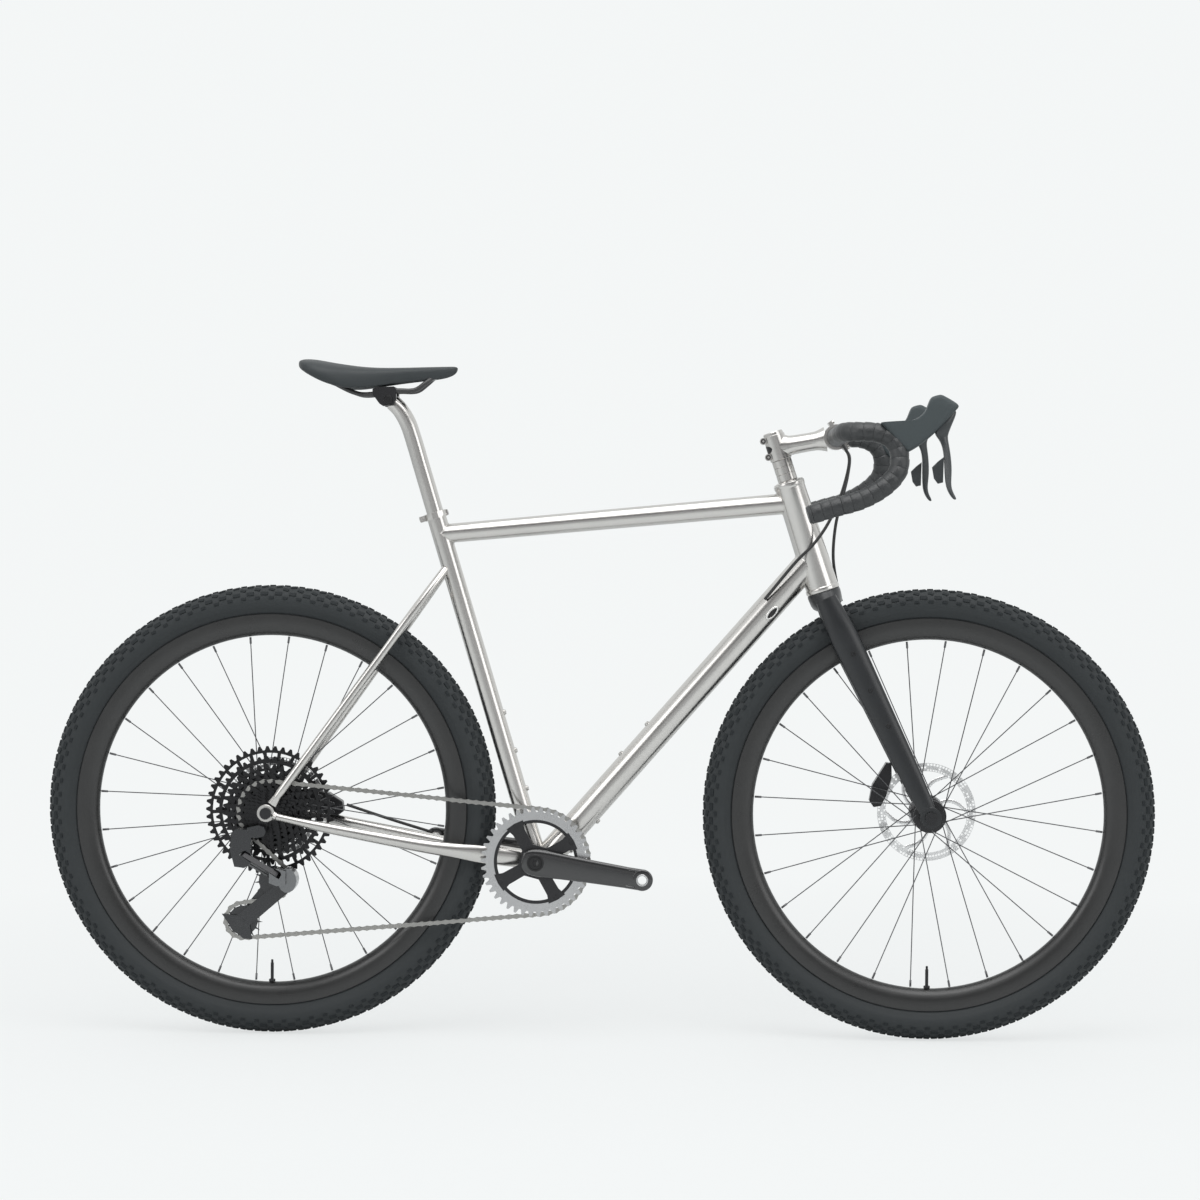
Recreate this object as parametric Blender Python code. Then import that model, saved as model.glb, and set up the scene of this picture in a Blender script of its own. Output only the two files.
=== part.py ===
"""A gravel bike with drop bars, disc brakes and one chainring, in metres.

+X points forward, +Y to the rider's left and +Z up. The drive side is -Y.
The origin lies on the ground, midway between the wheels.
"""
import bpy
import bmesh
from math import sin, cos, tan, atan2, acos, asin, sqrt, pi, radians, ceil
from mathutils import Vector, Matrix

MM = 0.001

# Layout of the frame and the wheels
WHEELBASE = 1058.5 * MM
TYRE_RADIUS = 363 * MM
TYRE_WIDTH = 50 * MM
REAR_CENTRE_RUN = 429.75 * MM
BB_DROP = 77 * MM
HEAD_ANGLE = radians(71.9)
SEAT_ANGLE = radians(73.25)
FORK_RAKE = 51.5 * MM
AXLE_TO_CROWN = 396.2 * MM

# Clearance between two solids that touch on the real bike
GAP = 0.3 * MM

# Frame tubes
HEAD_TUBE_LENGTH = 183 * MM
HEAD_TUBE_TOP_R = 24 * MM
HEAD_TUBE_BOTTOM_R = 26.2 * MM
HEAD_RING_HEIGHT = 7 * MM
HEAD_RING_PROUD = 1.0 * MM
SEAT_TUBE_LENGTH = 583 * MM
SEAT_TUBE_R = 15.5 * MM
TOP_TUBE_REAR_R = 15.4 * MM
TOP_TUBE_FRONT_R = 16.8 * MM
TOP_TUBE_UP_SEAT_TUBE = 546.4 * MM
TOP_TUBE_BELOW_HEAD_TOP = 34 * MM
DOWN_TUBE_R = 22 * MM
DOWN_TUBE_UP_HEAD_TUBE = 56 * MM
DOWN_TUBE_FORE = 8 * MM
DOWN_TUBE_BELOW = 7 * MM
TUBE_WALL = 1.3 * MM
SHELL_WIDTH = 68 * MM
SHELL_R = 21 * MM
SHELL_BORE_R = 17.6 * MM
TYRE_TO_STAY = 5 * MM
STAY_END_R = 6 * MM
STAY_MEETING_BELOW = 86 * MM

# Hubs and dropouts
REAR_HUB_WIDTH = 142 * MM
FRONT_HUB_WIDTH = 100 * MM
AXLE_R = 6 * MM
DROPOUT_THICKNESS = 7 * MM
DROPOUT_RING_R = 14 * MM
FORK_TIP_THICKNESS = 11 * MM

# Headset, steerer and stem
STEERER_R = 14.3 * MM
CROWN_STEERER_R = 16.5 * MM
UPPER_BEARING_R = 20.5 * MM
LOWER_BEARING_R = 23.4 * MM
BEARING_HEIGHT = 7 * MM
SPACER_R = 15.9 * MM
SPACER_STACK = 35 * MM
STEM_CLAMP_HEIGHT = 41 * MM
STEM_CLAMP_R = 17.4 * MM
TOP_CAP_HEIGHT = 6 * MM
CAP_R = STEERER_R + 1.6 * MM
CAP_SINK = 0.5 * MM
STEM_REACH = 95.2 * MM
STEM_SLOPE = radians(10.1)
FACEPLATE_TILT = radians(32.7)
STEM_TUBE_R = 14.6 * MM

# Handlebar
BAR_CLAMP_R = 15.9 * MM
BAR_R = 11.9 * MM
BAR_HALF_WIDTH = 207 * MM
BAR_REACH = 88 * MM
BAR_DROP = 124 * MM
TAPE_THICKNESS = 3.6 * MM
TAPE_START = 48 * MM
TAPE_LAP_STEP = 0.7 * MM
TOP_PADDING = 0.4 * MM

# Wheels
RIM_BEAD_R = 311 * MM
RIM_EDGE_R = 316.4 * MM
RIM_INNER_R = 281 * MM
RIM_WIDTH = 31 * MM
RIM_WALL = 3 * MM
TYRE_CASING = 3 * MM
SPOKES = 28
SPOKE_R = 0.95 * MM
SPOKE_CROSSES = 2
ROTOR_R = 80 * MM
ROTOR_TRACK = 14 * MM
ROTOR_THICKNESS = 1.8 * MM
FRONT_ROTOR_Y = 39.5 * MM
REAR_ROTOR_Y = 55.5 * MM

# Drive train
PITCH = 12.7 * MM
COGS = (10, 12, 14, 16, 18, 21, 24, 28, 32, 36, 42, 50)
COG_IN_USE = 6
COG_SPACING = 3.65 * MM
COG_THICKNESS = 1.8 * MM
SMALL_COG_Y = -65.6 * MM
RING_TEETH = 42
RING_Y = -45.5 * MM
PULLEY_TEETH = 14
CRANK_LENGTH = 172.5 * MM
CRANK_ANGLE = radians(-8.4)
CRANK_ROOT_R = 22.5 * MM
CRANK_TIP_R = 17.2 * MM
CRANK_TIP_Y = 74 * MM
CRANK_THICKNESS = 12.5 * MM
PEDAL_HOLE_R = 7.15 * MM
SPINDLE_R = 12 * MM
CHAIN_PITCHES = 124
CHAIN_INNER_HALF = 1.12 * MM
CHAIN_MIDDLE_HALF = 1.72 * MM
CHAIN_OUTER_HALF = 2.5 * MM
CHAIN_PLATE_GAP = 0.05 * MM
CHAIN_HALF_HEIGHT = 3.9 * MM

# Rear derailleur
CAGE_PIVOT_AFT = -35 * MM
CAGE_PIVOT_BELOW = 113 * MM
GUIDE_PULLEY_REACH = 27.1 * MM
TENSION_PULLEY_REACH = 98.7 * MM
CAGE_BEND = radians(43.3)
LINK_RUN = 52 * MM
LINK_FALL = 30 * MM
LINK_OUTWARD = 5 * MM
LINK_SPREAD = 6.2 * MM
SHIFT_SLANT = radians(35)

# Seat
SEATPOST_R = 13.6 * MM
SEATPOST_INSERTION = 110 * MM
SADDLE_LENGTH = 255 * MM
SADDLE_WIDTH = 148 * MM
RAIL_R = 3.8 * MM
RAIL_SPREAD = 22 * MM

# Facets of round shapes
WHEEL_SIDES = 24
TUBE_SIDES = 12
HEAD_SIDES = 12
HUB_SIDES = 12
BAR_SIDES = 8


def side_name(side):
    return "left" if side > 0 else "right"


def clear_scene():
    for thing in list(bpy.data.objects):
        bpy.data.objects.remove(thing, do_unlink=True)


def finish(name, colour, roughness, metallic):
    """A plain material with the piece's own colour."""
    mat = bpy.data.materials.new(name)
    mat.use_nodes = True
    shader = mat.node_tree.nodes["Principled BSDF"]
    shader.inputs["Base Color"].default_value = (*colour, 1)
    shader.inputs["Roughness"].default_value = roughness
    shader.inputs["Metallic"].default_value = metallic
    mat.diffuse_color = (*colour, 1)
    return mat


def vec(x, y, z):
    return Vector((x, y, z))


def along(start, end, share):
    return start + (end - start) * share


# Reference points and directions of the frame
FRONT_AXLE = vec(WHEELBASE / 2, 0, TYRE_RADIUS)
REAR_AXLE = vec(-WHEELBASE / 2, 0, TYRE_RADIUS)
BB = REAR_AXLE + vec(REAR_CENTRE_RUN, 0, -BB_DROP)
HEAD_UP = vec(-cos(HEAD_ANGLE), 0, sin(HEAD_ANGLE))
HEAD_FORE = vec(sin(HEAD_ANGLE), 0, cos(HEAD_ANGLE))
SEAT_UP = vec(-cos(SEAT_ANGLE), 0, sin(SEAT_ANGLE))
SEAT_FORE = vec(sin(SEAT_ANGLE), 0, cos(SEAT_ANGLE))
CROWN = FRONT_AXLE - HEAD_FORE * FORK_RAKE + HEAD_UP * sqrt(AXLE_TO_CROWN ** 2 - FORK_RAKE ** 2)
HEAD_BOTTOM = CROWN + HEAD_UP * 2 * GAP
HEAD_TOP = HEAD_BOTTOM + HEAD_UP * HEAD_TUBE_LENGTH
SEAT_TOP = BB + SEAT_UP * SEAT_TUBE_LENGTH
TOP_TUBE_REAR = BB + SEAT_UP * TOP_TUBE_UP_SEAT_TUBE
TOP_TUBE_FRONT = HEAD_TOP - HEAD_UP * TOP_TUBE_BELOW_HEAD_TOP
DOWN_TUBE_FRONT = HEAD_BOTTOM + HEAD_UP * DOWN_TUBE_UP_HEAD_TUBE
DOWN_TUBE_REAR = BB + vec(DOWN_TUBE_FORE, 0, -DOWN_TUBE_BELOW)
Y_AXIS = vec(0, 1, 0)


def circle_points(centre, u, v, a, b, sides, power=2.0, turn=0.0):
    """Points of an ellipse, or of a squarer outline where power is above 2."""
    points = []
    for i in range(sides):
        t = turn + 2 * pi * i / sides
        cu = abs(cos(t)) ** (2 / power) * (1 if cos(t) >= 0 else -1)
        cv = abs(sin(t)) ** (2 / power) * (1 if sin(t) >= 0 else -1)
        points.append(centre + u * a * cu + v * b * cv)
    return points


def add_ring(bm, points):
    verts = [bm.verts.new(p) for p in points]
    edges = [bm.edges.new((verts[i - 1], verts[i])) for i in range(len(verts))]
    return verts, edges


def wall_between(bm, low, high, split=False):
    """Faces between two rows of points that answer each other one by one."""
    for i in range(len(low)):
        if split:
            bm.faces.new((low[i - 1], low[i], high[i]))
            bm.faces.new((low[i - 1], high[i], high[i - 1]))
        else:
            bm.faces.new((low[i - 1], low[i], high[i], high[i - 1]))


def skin(bm, rings, cap_start=True, cap_end=True, split=False):
    """Join a row of like rings into one wall, with its ends filled if asked."""
    made = [add_ring(bm, ring) for ring in rings]
    for (low, _), (high, _) in zip(made, made[1:]):
        wall_between(bm, low, high, split)
    if cap_start:
        bm.faces.new(made[0][0])
    if cap_end:
        bm.faces.new(made[-1][0])
    return made


def solid_loft(rings):
    bm = bmesh.new()
    skin(bm, rings)
    return bm


def hollow_loft(outer, inner, split=False):
    """A wall between an outer and an inner row of rings, open at both ends."""
    bm = bmesh.new()
    out = skin(bm, outer, False, False, split)
    inn = skin(bm, inner, False, False, split)
    for end in (0, -1):
        wall_between(bm, out[end][0], inn[end][0])
    return bm


def frame_of(direction, hint=Y_AXIS):
    """Two unit vectors across a direction."""
    d = direction.normalized()
    u = (hint - d * hint.dot(d)).normalized()
    return u, d.cross(u)


def tube_rings(points, radii, sides, hint=Y_AXIS, turn=0.0):
    """Rings across a path, one at each of its points, square to the path there."""
    rings = []
    for i, p in enumerate(points):
        before = points[max(i - 1, 0)]
        after = points[min(i + 1, len(points) - 1)]
        u, v = frame_of(after - before, hint)
        r = radii[i] if isinstance(radii, (list, tuple)) else radii
        a, b = r if isinstance(r, tuple) else (r, r)
        rings.append(circle_points(p, u, v, a, b, sides, turn=turn))
    return rings


def straight_tube(start, end, start_r, end_r, sides, wall=0.0):
    turn = pi / sides
    outer = tube_rings([start, end], [start_r, end_r], sides, turn=turn)
    if wall == 0:
        return solid_loft(outer)
    inner = tube_rings([start, end], [start_r - wall, end_r - wall], sides, turn=turn)
    return hollow_loft(outer, inner)


def turned(profile, base, axis, sides, turn=0.0):
    """Spin a closed profile of (radius, height) points about an axis."""
    bm = bmesh.new()
    u, _ = frame_of(axis, vec(0, 1, 0) if abs(axis.normalized().y) < 0.9 else vec(1, 0, 0))
    d = axis.normalized()
    u = Matrix.Rotation(turn, 3, d) @ u
    verts = [bm.verts.new(base + u * r + d * h) for r, h in profile]
    edges = []
    for i in range(len(verts)):
        if profile[i - 1][0] == 0 and profile[i][0] == 0:
            continue
        edges.append(bm.edges.new((verts[i - 1], verts[i])))
    bmesh.ops.spin(bm, geom=verts + edges, cent=base, axis=d, angle=2 * pi, steps=sides,
                   use_merge=True, use_duplicate=False)
    bmesh.ops.remove_doubles(bm, verts=bm.verts, dist=1e-6)
    return bm


def flat_plate(outline, holes, centre, u, v, half):
    """A plate of an outline with holes, given in (u, v), to both sides of a plane."""
    bm = bmesh.new()
    w = u.cross(v).normalized()
    edges = []
    for loop in [outline] + list(holes):
        points = [centre + u * a + v * b - w * half for a, b in loop]
        edges += add_ring(bm, points)[1]
    bmesh.ops.triangle_fill(bm, edges=edges, use_beauty=True, use_dissolve=False)
    made = bmesh.ops.extrude_face_region(bm, geom=list(bm.faces))
    moved = [g for g in made["geom"] if isinstance(g, bmesh.types.BMVert)]
    bmesh.ops.translate(bm, verts=moved, vec=w * 2 * half)
    return bm


def rod(start, end, radius, sides, turn=0.0):
    return solid_loft(tube_rings([start, end], radius, sides, turn=turn,
                                 hint=Y_AXIS if abs((end - start).normalized().y) < 0.9 else vec(0, 0, 1)))


def merge(*parts):
    """Several bodies in one mesh."""
    whole = bmesh.new()
    for part in parts:
        bmesh.ops.recalc_face_normals(part, faces=part.faces)
        mesh = bpy.data.meshes.new("part")
        part.to_mesh(mesh)
        part.free()
        whole.from_mesh(mesh)
        bpy.data.meshes.remove(mesh)
    return whole


def place(name, bm, mat, origin=None):
    """A named object from a mesh in bike coordinates, with its origin on its own axis."""
    bmesh.ops.recalc_face_normals(bm, faces=bm.faces)
    origin = origin or vec(0, 0, 0)
    bmesh.ops.translate(bm, verts=bm.verts, vec=-origin)
    mesh = bpy.data.meshes.new(name)
    bm.to_mesh(mesh)
    bm.free()
    mesh.shade_smooth()
    mesh.set_sharp_from_angle(angle=radians(40))
    obj = bpy.data.objects.new(name, mesh)
    obj.location = origin
    if mat:
        obj.data.materials.append(mat)
    bpy.context.scene.collection.objects.link(obj)
    return obj


def guide(name, bm):
    """A cutter or a partner of a union: hidden from renders."""
    obj = place(name, bm, None)
    obj.hide_render = True
    obj.display_type = "WIRE"
    return obj


def shape_with(obj, bm, operation, label):
    mod = obj.modifiers.new(label, "BOOLEAN")
    mod.operation = operation
    mod.solver = "EXACT"
    mod.object = guide(obj.name + "_" + label, bm)


def cut(obj, bm, label):
    shape_with(obj, bm, "DIFFERENCE", label)


def join(obj, bm, label):
    shape_with(obj, bm, "UNION", label)


def curve_through(points, count):
    """Evenly spread points on a smooth curve through the given ones."""
    pts = [points[0] * 2 - points[1]] + list(points) + [points[-1] * 2 - points[-2]]
    fine = []
    steps = 12
    for i in range(1, len(pts) - 2):
        p0, p1, p2, p3 = pts[i - 1:i + 3]
        for k in range(steps):
            t = k / steps
            fine.append(0.5 * ((2 * p1) + (p2 - p0) * t + (2 * p0 - 5 * p1 + 4 * p2 - p3) * t * t
                               + (3 * p1 - p0 - 3 * p2 + p3) * t ** 3))
    fine.append(pts[-2])
    lengths = [0.0]
    for a, b in zip(fine, fine[1:]):
        lengths.append(lengths[-1] + (b - a).length)
    out = []
    k = 0
    for i in range(count):
        want = lengths[-1] * i / (count - 1)
        while k < len(fine) - 2 and lengths[k + 1] < want:
            k += 1
        span = lengths[k + 1] - lengths[k]
        out.append(along(fine[k], fine[k + 1], (want - lengths[k]) / span if span else 0))
    return out


# Frame

HEAD_BORE_CLEARANCE = 3.3 * MM
SLOT_LENGTH = 34 * MM
SLOT_WIDTH = 1.6 * MM


def clear_rod(start, end, radius, sides=24):
    """A rod whose flats lie a running gap outside a round piece."""
    return rod(start, end, (radius + GAP) / cos(pi / sides), sides)


def head_cutter():
    low = HEAD_TUBE_BOTTOM_R + GAP
    high = HEAD_TUBE_TOP_R + GAP
    turned_out = 1 / cos(pi / 32)
    return straight_tube(HEAD_BOTTOM + HEAD_UP * HEAD_RING_HEIGHT, HEAD_TOP - HEAD_UP * HEAD_RING_HEIGHT,
                         low * turned_out, high * turned_out, 32)


def shell_cutter():
    reach = Y_AXIS * SHELL_WIDTH
    return clear_rod(BB - reach, BB + reach, SHELL_R)


def build_head_tube(mat):
    length = HEAD_TUBE_LENGTH
    ring = HEAD_RING_HEIGHT
    low = HEAD_TUBE_BOTTOM_R
    high = HEAD_TUBE_TOP_R
    seat = BEARING_HEIGHT + GAP
    profile = [
        (low + HEAD_RING_PROUD, 0), (low + HEAD_RING_PROUD, ring), (low, ring + HEAD_RING_PROUD),
        (high, length - ring - HEAD_RING_PROUD), (high + HEAD_RING_PROUD, length - ring),
        (high + HEAD_RING_PROUD, length),
        (UPPER_BEARING_R + GAP, length), (UPPER_BEARING_R + GAP, length - seat),
        (STEERER_R + HEAD_BORE_CLEARANCE, length - seat),
        (CROWN_STEERER_R + HEAD_BORE_CLEARANCE, seat),
        (LOWER_BEARING_R + GAP, seat), (LOWER_BEARING_R + GAP, 0),
    ]
    place("head_tube", turned(profile, HEAD_BOTTOM, HEAD_UP, HEAD_SIDES), mat)


def clear_bore(radius, sides):
    """Radius to a faceted bore's corners, whose flats clear a shaft of this radius."""
    return (radius + GAP) / cos(pi / sides)


def build_headset_bearings(mat):
    bore = clear_bore(STEERER_R, HEAD_SIDES)
    upper = [(bore, 0), (UPPER_BEARING_R, 0), (UPPER_BEARING_R, BEARING_HEIGHT), (bore, BEARING_HEIGHT)]
    bore = clear_bore(CROWN_STEERER_R, HEAD_SIDES)
    lower = [(bore, 0), (LOWER_BEARING_R, 0), (LOWER_BEARING_R, BEARING_HEIGHT), (bore, BEARING_HEIGHT)]
    place("headset_upper_bearing", turned(upper, HEAD_TOP - HEAD_UP * BEARING_HEIGHT, HEAD_UP, HEAD_SIDES), mat)
    place("headset_lower_bearing", turned(lower, HEAD_BOTTOM, HEAD_UP, HEAD_SIDES), mat)


def build_top_tube(mat):
    tube = place("top_tube", straight_tube(TOP_TUBE_REAR, TOP_TUBE_FRONT, TOP_TUBE_REAR_R,
                                           TOP_TUBE_FRONT_R, TUBE_SIDES, TUBE_WALL), mat)
    cut(tube, head_cutter(), "head")
    cut(tube, clear_rod(BB, SEAT_TOP, SEAT_TUBE_R), "seat")


def down_tube_start():
    direction = (DOWN_TUBE_FRONT - DOWN_TUBE_REAR).normalized()
    return DOWN_TUBE_REAR + direction * SHELL_R * 0.55


def build_down_tube(mat):
    tube = place("down_tube", straight_tube(down_tube_start(), DOWN_TUBE_FRONT, DOWN_TUBE_R, DOWN_TUBE_R,
                                            TUBE_SIDES + 2, TUBE_WALL), mat)
    cut(tube, head_cutter(), "head")
    cut(tube, shell_cutter(), "shell")
    join(tube, down_tube_bosses(), "bosses")


def build_seat_tube(mat):
    tube = place("seat_tube", straight_tube(BB, SEAT_TOP, SEAT_TUBE_R, SEAT_TUBE_R, TUBE_SIDES,
                                            SEAT_TUBE_R - SEATPOST_R - GAP), mat)
    cut(tube, shell_cutter(), "shell")
    cut(tube, clear_rod(DOWN_TUBE_REAR, DOWN_TUBE_FRONT, DOWN_TUBE_R), "down_tube")
    slot_low = SEAT_TOP - SEAT_UP * SLOT_LENGTH
    slot_high = SEAT_TOP + SEAT_UP * SLOT_WIDTH
    rear = SEAT_FORE * -(SEAT_TUBE_R / 2)
    across = SEAT_FORE * SEAT_TUBE_R
    corners = [slot_low + rear, slot_low + rear - across, slot_high + rear - across, slot_high + rear]
    outline = [(p.x, p.z) for p in corners]
    cut(tube, flat_plate(outline, [], vec(0, 0, 0), vec(1, 0, 0), vec(0, 0, 1), SLOT_WIDTH / 2), "slot")
    join(tube, seat_tube_bosses(), "bosses")


def build_shell(mat):
    half = SHELL_WIDTH / 2
    profile = [(SHELL_R, -half), (SHELL_R, half), (SHELL_BORE_R, half), (SHELL_BORE_R, -half)]
    place("bottom_bracket_shell", turned(profile, BB, Y_AXIS, HUB_SIDES), mat)


CUP_DEPTH = 11 * MM
CUP_FLANGE = 7 * MM
CUP_FLANGE_PROUD = 2.5 * MM
CUP_SLEEVE_WALL = 1.6 * MM


def build_bottom_bracket(mat):
    """Two bearing cups in the shell's ends with a sleeve between them."""
    half = SHELL_WIDTH / 2
    body = SHELL_BORE_R - GAP
    flange = SHELL_BORE_R + CUP_FLANGE_PROUD
    bore = clear_bore(SPINDLE_R, HUB_SIDES)
    profile = [(bore, half + GAP + CUP_FLANGE), (flange, half + GAP + CUP_FLANGE), (flange, half + GAP),
               (body, half + GAP), (body, half - CUP_DEPTH), (bore + CUP_SLEEVE_WALL, half - CUP_DEPTH)]
    loop = profile + [(r, -h) for r, h in reversed(profile)]
    place("bottom_bracket", turned(loop, BB, Y_AXIS, HUB_SIDES), mat)


HANGER_THICKNESS = 2.1 * MM
DROPOUT_OUTER = REAR_HUB_WIDTH / 2 + HANGER_THICKNESS + GAP + DROPOUT_THICKNESS
STAY_END_Y = DROPOUT_OUTER - DROPOUT_THICKNESS / 2
CHAINSTAY_TIP = 17.5 * MM
CHAINSTAY_DIRECTION = radians(-18)
SEATSTAY_DIRECTION = radians(56)
TONGUE_LENGTH = 30 * MM
TONGUE_WIDTH = 5.6 * MM


def circle_loop(radius, sides, centre=(0, 0), turn=0.0):
    return [(centre[0] + radius * cos(turn + 2 * pi * i / sides),
             centre[1] + radius * sin(turn + 2 * pi * i / sides)) for i in range(sides)]


def tongued_ring(radius, tongues):
    """The outline of a round eye with straight tongues, each a (direction, length, half width)."""
    points = []
    for i, (angle, length, half) in enumerate(tongues):
        spread = asin(half / radius)
        last = i == len(tongues) - 1
        next_angle, _, next_half = tongues[0] if last else tongues[i + 1]
        next_angle += 2 * pi if last else 0
        for side in (-1, 1):
            points.append((length * cos(angle) - side * half * sin(angle),
                           length * sin(angle) + side * half * cos(angle)))
        arc_start = angle + spread
        arc_end = next_angle - asin(next_half / radius)
        count = max(2, ceil((arc_end - arc_start) / radians(30)) + 1)
        for k in range(count):
            t = arc_start + (arc_end - arc_start) * k / (count - 1)
            points.append((radius * cos(t), radius * sin(t)))
    return points


def dropout_body(side):
    inner = REAR_HUB_WIDTH / 2 + (HANGER_THICKNESS + GAP if side < 0 else 0)
    centre = REAR_AXLE + Y_AXIS * side * (inner + DROPOUT_OUTER) / 2
    outline = tongued_ring(DROPOUT_RING_R, [(CHAINSTAY_DIRECTION, TONGUE_LENGTH, TONGUE_WIDTH),
                                            (SEATSTAY_DIRECTION, TONGUE_LENGTH, TONGUE_WIDTH)])
    return flat_plate(outline, [circle_loop(AXLE_R + GAP, 12)], centre, vec(1, 0, 0), vec(0, 0, 1),
                      (DROPOUT_OUTER - inner) / 2)


def stay_end(side, angle, reach):
    return REAR_AXLE + vec(cos(angle), 0, sin(angle)) * reach + Y_AXIS * side * STAY_END_Y


HANGER_AFT = 8 * MM
HANGER_BELOW = 28 * MM
HANGER_EYE_R = 8 * MM
HANGER_FACE_Y = DROPOUT_OUTER + 2 * MM


def hanger_point(y):
    return REAR_AXLE + vec(-HANGER_AFT, y, -HANGER_BELOW)


def build_hanger(mat):
    angle = atan2(-HANGER_BELOW, -HANGER_AFT)
    reach = sqrt(HANGER_AFT ** 2 + HANGER_BELOW ** 2)
    inner = REAR_HUB_WIDTH / 2
    centre = REAR_AXLE - Y_AXIS * (inner + HANGER_THICKNESS / 2)
    outline = tongued_ring(DROPOUT_RING_R, [(angle, reach + HANGER_EYE_R / 2, HANGER_EYE_R * 0.9)])
    plate = flat_plate(outline, [circle_loop(AXLE_R + GAP, 12)], centre, vec(1, 0, 0), vec(0, 0, 1),
                       HANGER_THICKNESS / 2)
    hanger = place("derailleur_hanger", plate, mat)
    start = hanger_point(-inner - GAP)
    join(hanger, rod(start, hanger_point(-HANGER_FACE_Y), HANGER_EYE_R, 12), "eye")


def stay_points(front, end, ways, sag=0.0):
    """Points at given shares of a stay's line, each with its own distance from the middle plane."""
    points = []
    for share, y in ways:
        p = along(front, end, share)
        points.append(vec(p.x, y, p.z - 4 * sag * share * (1 - share)))
    return points


STAY_AT_TYRE = TYRE_WIDTH / 2 + TYRE_TO_STAY
STAY_SAG = 6 * MM
YOKE_HALF = 5 * MM
YOKE_HEIGHT = 14 * MM
SHELL_STAY_Y = 22 * MM
CHAINSTAY_R = 9.5 * MM
SEATSTAY_TOP_Y = 13 * MM
SEATSTAY_R = 6.8 * MM


def chainstay_rings(side):
    """The drive side is a flat yoke beside the chainring; the other side is round all along."""
    front = BB + vec(-SHELL_R * 0.6, 0, 0)
    end = stay_end(side, CHAINSTAY_DIRECTION, CHAINSTAY_TIP)
    round_r = (CHAINSTAY_R, CHAINSTAY_R * 1.1)
    slim_r = (CHAINSTAY_R * 0.87, CHAINSTAY_R * 0.88)
    tip_r = (STAY_END_R, STAY_END_R)
    shared = [(0.8, STAY_END_Y - 10.5 * MM), (0.94, STAY_END_Y - 3 * MM), (1, STAY_END_Y)]
    if side < 0:
        y = STAY_AT_TYRE + YOKE_HALF
        yoke = (YOKE_HALF, YOKE_HEIGHT)
        ways = [(0, SHELL_STAY_Y), (0.12, y - 4 * MM), (0.2, y), (0.31, y + 6 * MM), (0.46, y + 14.5 * MM)]
        sizes = [yoke, yoke, yoke, (YOKE_HALF * 1.6, YOKE_HEIGHT * 0.86), (CHAINSTAY_R * 1.09, CHAINSTAY_R * 1.15)]
    else:
        y = STAY_AT_TYRE + CHAINSTAY_R
        ways = [(0, SHELL_STAY_Y), (0.12, y - 5.5 * MM), (0.22, y + 1 * MM), (0.36, y + 8 * MM)]
        sizes = [round_r, (CHAINSTAY_R * 0.9, CHAINSTAY_R * 1.15), round_r, round_r]
    points = stay_points(front, end, [(share, side * y) for share, y in ways + shared], STAY_SAG)
    return tube_rings(points, sizes + [slim_r, tip_r, tip_r], 10, turn=pi / 10)


def build_chainstays(mat):
    for side in (-1, 1):
        stay = place("chainstay_" + side_name(side), solid_loft(chainstay_rings(side)), mat)
        cut(stay, shell_cutter(), "shell")
        join(stay, dropout_body(side), "dropout")
        cut(stay, rod(REAR_AXLE, REAR_AXLE + Y_AXIS * side * REAR_HUB_WIDTH, AXLE_R + GAP, 12), "axle")


def seatstay_path(side):
    end = SEAT_TOP - SEAT_UP * STAY_MEETING_BELOW
    start = stay_end(side, SEATSTAY_DIRECTION, TONGUE_LENGTH + 2 * GAP)
    middle = STAY_AT_TYRE + SEATSTAY_R + 3 * MM
    ways = [(0, STAY_END_Y), (0.06, STAY_END_Y - MM), (0.14, STAY_END_Y - 5 * MM), (0.4, middle + 20 * MM),
            (0.62, middle + 7 * MM), (0.78, middle), (0.9, middle * 0.68), (1, SEATSTAY_TOP_Y)]
    return stay_points(start, end, [(share, side * y) for share, y in ways])


BRIDGE_SHARE = 0.83
BRIDGE_R = 5.5 * MM


def seatstay_body(side):
    path = seatstay_path(side)
    return solid_loft(tube_rings(path, [STAY_END_R] + [SEATSTAY_R] * (len(path) - 1), 9))


def build_seatstays(mat):
    stays = place("seatstays", seatstay_body(-1), mat)
    path = curve_through(seatstay_path(1), 101)
    p = path[round(BRIDGE_SHARE * 100)]
    join(stays, rod(vec(p.x, -p.y, p.z), vec(p.x, p.y, p.z), BRIDGE_R, 10), "bridge")
    join(stays, seatstay_body(1), "left")
    cut(stays, clear_rod(BB, SEAT_TOP, SEAT_TUBE_R), "seat_tube")


CLAMP_HEIGHT = 10.6 * MM
CLAMP_WALL = 2.6 * MM
CLAMP_EAR = 27 * MM
CLAMP_EAR_HALF = 6.5 * MM
CLAMP_BOLT_R = 2.4 * MM


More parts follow.
